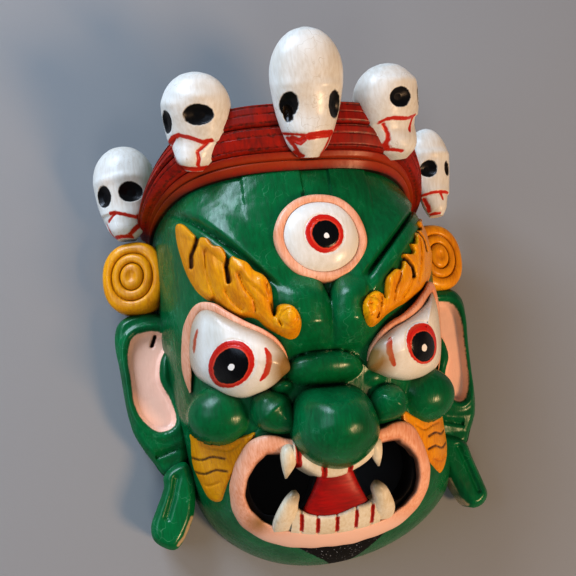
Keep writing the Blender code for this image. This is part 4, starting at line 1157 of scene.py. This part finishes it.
# share of the way out and height, from the back over the edge to the middle of the front
DISC_PROFILE = ((0.04, -0.9), (0.9, -0.9), (0.97, -0.6), (1.0, -0.3), (1.0, 0.5), (0.985, 0.75),
                (0.94, 0.95), (0.88, 1.05), (0.76, 1.12), (0.70, 1.08), (0.66, 0.94), (0.62, 1.08),
                (0.56, 1.17), (0.48, 1.19), (0.42, 1.15), (0.38, 1.0), (0.34, 1.16), (0.28, 1.24),
                (0.18, 1.27), (0.10, 1.2), (0.03, 1.16))
for side, label in SIDES:
    at_x, at_y, wide, high = DISC_PLACE[side]
    steps = curve_through(DISC_PROFILE, 110)
    a = turns(DISC_POINTS)
    fat = np.abs(np.cos(a)) ** DISC_SQUARE + np.abs(np.sin(a)) ** DISC_SQUARE
    fat = fat ** (-1 / DISC_SQUARE)
    fat = 1 + (fat - 1) * np.clip((steps[:, :1] - 0.5) / 0.5, 0, 1)
    x = steps[:, :1] * wide * np.cos(a) * fat
    y = steps[:, :1] * high * np.sin(a) * fat
    z = np.broadcast_to(steps[:, 1:], x.shape)
    c, s = math.cos(DISC_LEAN), math.sin(DISC_LEAN)
    rings = np.stack([side * (at_x + x * c + z * s), at_y + y, DISC_HIGH - x * s + z * c], -1)
    rings_piece("ear_disc_" + label, rings, orange, {"cut": np.full(x.shape, NOWHERE)})


# Crown: a thick band of flat strips, cut with fine parallel grooves and painted brick red, that
# arches over the forehead and carries the skulls.
CROWN_LOW, CROWN_LOW_DROP, CROWN_HIGH, CROWN_HIGH_DROP = 11.6, 0.9, 15.5, 4.0
CROWN_TALL, CROWN_RISE, CROWN_PROUD, CROWN_FOOT = 11.0, 0.09, 0.72, 0.14
# width of the band on which the edges of its paints are measured
CROWN_BAND = 3.4
CROWN_STEPS = (0.15, 0.29, 0.65)
CROWN_LINES = (0.33, 0.50, 0.61, 0.69, 0.83, 0.95)
# Thin brick red enamel: almost flat, streaked along the strips, browner where the wood wears through, with
# painted shade in the fine grooves and creases and over the inside of the arch.
crown_red = enamel("brick_red_enamel", "#A42210", "#70160A", (("edge", "#2A100A", 0.10),
                                                          ("worn", "#9C3A16", 0.22),
                                                          ("line", "#5A1A0C", 0.04)),
                   gloss=0.34, crease_shade=0.85, crease_shade_colour="#241008",
                   streak_mm=1.2, uneven=1.0)
cols, rows = 420, 110
angle = np.linspace(0.03, math.pi - 0.03, cols)[:, None]
reach = np.cos(angle)
share = np.linspace(0, 1, rows)
low = CROWN_LOW - CROWN_LOW_DROP * np.abs(reach) ** 6
high = CROWN_HIGH - CROWN_HIGH_DROP * np.abs(reach) ** 3
y = low + (high - low) * share
groove = np.zeros(y.shape)
for at in CROWN_STEPS:
    groove += 0.16 * bell((share - at) * (high - low), 0.07)
for at in CROWN_LINES:
    groove += 0.05 * bell((share - at) * (high - low), 0.035)
level = np.interp(share, (0.0, 0.15, 0.16, 0.29, 0.30, 0.65, 0.66, 1.0),
                  (0.02, 0.10, -0.04, 0.03, 0.12, 0.06, 0.16, 0.08))
proud = CROWN_FOOT + (CROWN_PROUD - CROWN_FOOT) * np.clip(share / 0.6, 0, 1) - groove + level
proud = proud - 0.3 * np.clip((share - 0.98) / 0.02, 0, 1)
wide = half_width(reach, y) + proud
tall = CROWN_TALL + CROWN_RISE * (y - CROWN_LOW) + proud
x = wide * signed_power(reach, 2 / DOME_POWER)
# the foot of the band follows the forehead, and above it the band is squarer
flat = 0.55 + 0.40 * np.clip(1 - share / 0.5, 0, 1) ** 1.5
z = tall * np.sin(angle) ** (2 / DOME_ROUND * flat)
outer = np.stack([x, y, z], -1)
inner = outer[:, [-1, 0]] * (0.86, 1.0, 0.86)

# the fine grooves are painted dark red, as painted shade in them
near_line = np.min([np.abs(share - at) for at in CROWN_LINES], axis=0)
crown_fields = {}
for key, row in (("edge", share * CROWN_BAND - 0.10), ("worn", np.abs(share - 0.14) * CROWN_BAND - 0.34),
                 ("line", near_line * CROWN_BAND - 0.02)):
    # the dark edge paint runs along the foot of the band, and over the whole inside face it is painted
    # shade under the arch
    back = np.full((cols, 2), -1.0 if key == "edge" else NOWHERE)
    crown_fields[key] = np.concatenate([np.broadcast_to(row, y.shape), back], 1)
rings_piece("crown", np.concatenate([outer, inner], 1), crown_red, crown_fields)


# Skulls: five ivory heads that stand on the crown and lean out from it, with hollow black eyes
# and a red mouth drawn over a cut jaw.
SKULL_HALF_WIDTH = ((0.0, 0.6), (0.08, 1.12), (0.19, 1.48), (0.34, 1.84), (0.5, 2.06), (0.62, 2.15),
                    (0.72, 2.10), (0.81, 1.90), (0.88, 1.61), (0.94, 1.20), (0.98, 0.72), (1.0, 0.2))
SKULL_FRONT = ((0.0, 0.9), (0.08, 1.4), (0.2, 1.6), (0.33, 1.5), (0.45, 1.6), (0.62, 1.75),
               (0.72, 1.71), (0.81, 1.55), (0.88, 1.31), (0.94, 0.98), (0.98, 0.60), (1.0, 0.2))
SKULL_BACK = ((0.0, 0.6), (0.22, 1.0), (0.45, 1.6), (0.62, 2.1), (0.72, 2.08), (0.81, 1.87),
              (0.88, 1.56), (0.94, 1.14), (0.98, 0.68), (1.0, 0.2))
# share of a ring's points that lie on its front, and how much wider than drawn the red paint is
FRONT_SHARE, STROKE_WIDER = 0.7, 1.8
SKULLS = (
    # chin point, crown point, turn outward in degrees, width share
    ((-11.2, 10.6, 2.6), (-11.1, 17.0, 3.4), -14, 0.97),
    ((-6.5, 12.5, 9.6), (-6.2, 17.65, 12.1), -22, 0.97),
    ((0.0, 12.2, 11.5), (0.1, 18.9, 14.5), 0, 1.0),
    ((5.8, 12.6, 9.6), (5.2, 17.75, 12.2), 30, 1.0),
    ((9.9, 10.3, 4.4), (9.8, 16.5, 5.2), 20, 0.70),
)
# Satin enamel, greyer and duller than the teeth: dry bone with painted brown shade in its cuts.
bone = enamel("ivory_satin_enamel_skulls", "#E6E5DE", "#D0C9BB",
              (("red", "#C3301F", 0.03), ("eye", "#0A0A0C", 0.03)), gloss=0.30,
              crease_shade_colour="#5C452C", crease_shade=0.85, worn_colour="#A8977A")


def skull_rings(chin, top, turn, width, eyes, strokes, cols=200, rows=150):
    """Rings round the line from chin to crown, and each point's place across and along it."""
    chin, top = np.array(chin), np.array(top)
    up = top - chin
    length = np.linalg.norm(up)
    up = up / length
    out = np.array([math.sin(math.radians(turn)), 0, math.cos(math.radians(turn))])
    out -= up * (out @ up)
    out /= np.linalg.norm(out)
    right = np.cross(up, out)
    a = np.arange(cols) / cols
    a = math.pi * np.where(a < FRONT_SHARE, a / FRONT_SHARE, 1 + (a - FRONT_SHARE) / (1 - FRONT_SHARE))
    t = (0.5 - 0.5 * np.cos(np.linspace(0.08, math.pi - 0.08, rows)))[:, None]
    front = (np.sin(a) > 0) & (t > 0)
    across = through(t, SKULL_HALF_WIDTH) * width * np.cos(a)
    depth = np.where(front, through(t, SKULL_FRONT), through(t, SKULL_BACK)) * width * np.sin(a)
    along = np.broadcast_to(length * t, across.shape)
    cut = np.zeros(across.shape)
    for at, size, lean in eyes:
        near = disc_field(at, size, lean)(across, along) / min(size)
        cut += 0.34 * np.clip(-near * 1.6, 0, 1) ** 0.7
        cut -= 0.12 * np.exp(-((across - at[0]) / 0.9) ** 2 - ((along - at[1] - 1.05) / 0.3) ** 2)
    # the jaw is cut back under the line of the mouth
    bar = np.array(strokes[0][0])
    under = np.interp(across, bar[:, 0], bar[:, 1]) - along
    cut += 0.20 * np.clip(under / 0.12, 0, 1) * np.clip(1.6 - under, 0, 1)
    for line, half in strokes:
        cut += 0.08 * bell(line_distance(across, along, line), 0.09)
    depth = depth - np.where(front, cut, 0) * np.clip(np.sin(a) * 3, 0, 1)
    rings = chin + up * along[..., None] + right * across[..., None] + out * depth[..., None]
    return rings, np.where(front, across, 9.0), along


SKULL_EYES = (
    # centre across and up from the chin, radii, turn
    (((-1.03, 2.83), (0.55, 0.72), 0.1), ((0.80, 2.98), (0.76, 0.66), 0.2)),
    (((-1.36, 2.83), (0.44, 0.66), 0.0), ((0.74, 3.28), (0.84, 0.60), 0.1)),
    (((-1.24, 3.02), (0.50, 0.68), 0.0), ((-1.27, 2.52), (0.28, 0.50), 0.0),
     ((1.41, 2.97), (0.40, 0.78), 0.0)),
    (((-0.70, 3.76), (0.72, 0.60), 0.0), ((1.3, 3.6), (0.45, 0.55), 0.0)),
    (((-0.80, 3.16), (0.52, 0.58), 0.0), ((0.66, 3.2), (0.30, 0.50), 0.0)),
)
SKULL_STROKES = (
    # lines of red paint with their half widths, the first one along the mouth
    ((((-0.63, 1.68), (-0.27, 1.68), (0.42, 1.48), (1.02, 1.31), (1.52, 1.61)), 0.06),
     (((-0.27, 1.68), (-0.86, 1.20)), 0.05), (((1.52, 1.61), (1.11, 0.90), (0.49, 0.25)), 0.06),
     (((-0.60, 0.14), (0.05, 0.12), (0.49, 0.14)), 0.06), (((-1.13, 1.10), (-0.75, 0.20)), 0.03)),
    ((((-1.47, 1.61), (-1.01, 1.95), (-0.52, 2.11), (0.23, 1.97), (0.89, 1.74), (1.32, 1.84)), 0.07),
     (((1.18, 1.82), (0.84, 1.45), (0.57, 1.17), (0.65, 0.77), (0.53, 0.35)), 0.05),
     (((-0.87, 1.93), (-1.34, 1.36)), 0.05), (((-0.68, 0.25), (0.26, 0.15), (0.90, 0.22)), 0.08),
     (((-1.32, 1.26), (-0.68, 0.25)), 0.03)),
    ((((-1.75, 1.45), (-1.20, 1.38), (-0.40, 1.29), (0.41, 1.29), (1.20, 1.34)), 0.04),
     (((-0.16, 1.21), (0.41, 1.29), (1.20, 1.34)), 0.12),
     (((-1.27, 1.16), (-0.93, 0.70), (-0.56, 0.05)), 0.05),
     (((-1.06, 1.09), (-0.65, 0.93), (-0.49, 1.06)), 0.11), (((-0.86, 0.35), (-0.45, 0.11)), 0.06),
     (((1.23, 1.16), (0.70, 0.16)), 0.05)),
    ((((-1.73, 2.46), (-1.50, 2.60), (-1.19, 2.60), (-0.22, 2.43), (0.72, 2.51)), 0.06),
     (((0.72, 2.51), (0.10, 1.68)), 0.06),
     (((-1.54, 2.32), (-1.35, 1.81), (-1.33, 1.45), (-1.38, 1.11), (-1.22, 0.78), (-0.65, 0.56)),
      0.05)),
    ((((-1.10, 1.45), (-0.81, 1.51), (-0.10, 1.56), (0.60, 1.50)), 0.05),
     (((-0.98, 1.24), (-0.65, 0.32)), 0.04), (((-0.10, 1.50), (0.08, 1.08)), 0.05),
     (((-0.50, 0.15), (-0.12, 0.12)), 0.05)),
)
for number, (place, eyes, strokes) in enumerate(zip(SKULLS, SKULL_EYES, SKULL_STROKES)):
    rings, across, along = skull_rings(*place, eyes, strokes)
    eye = np.min([disc_field(*spec)(across, along) for spec in eyes], axis=0)
    red = np.min([stroke_field(line, STROKE_WIDER * half)(across, along) for line, half in strokes], axis=0)
    rings_piece("skull_%d" % (number + 1), rings, bone, {"red": red, "eye": eye})
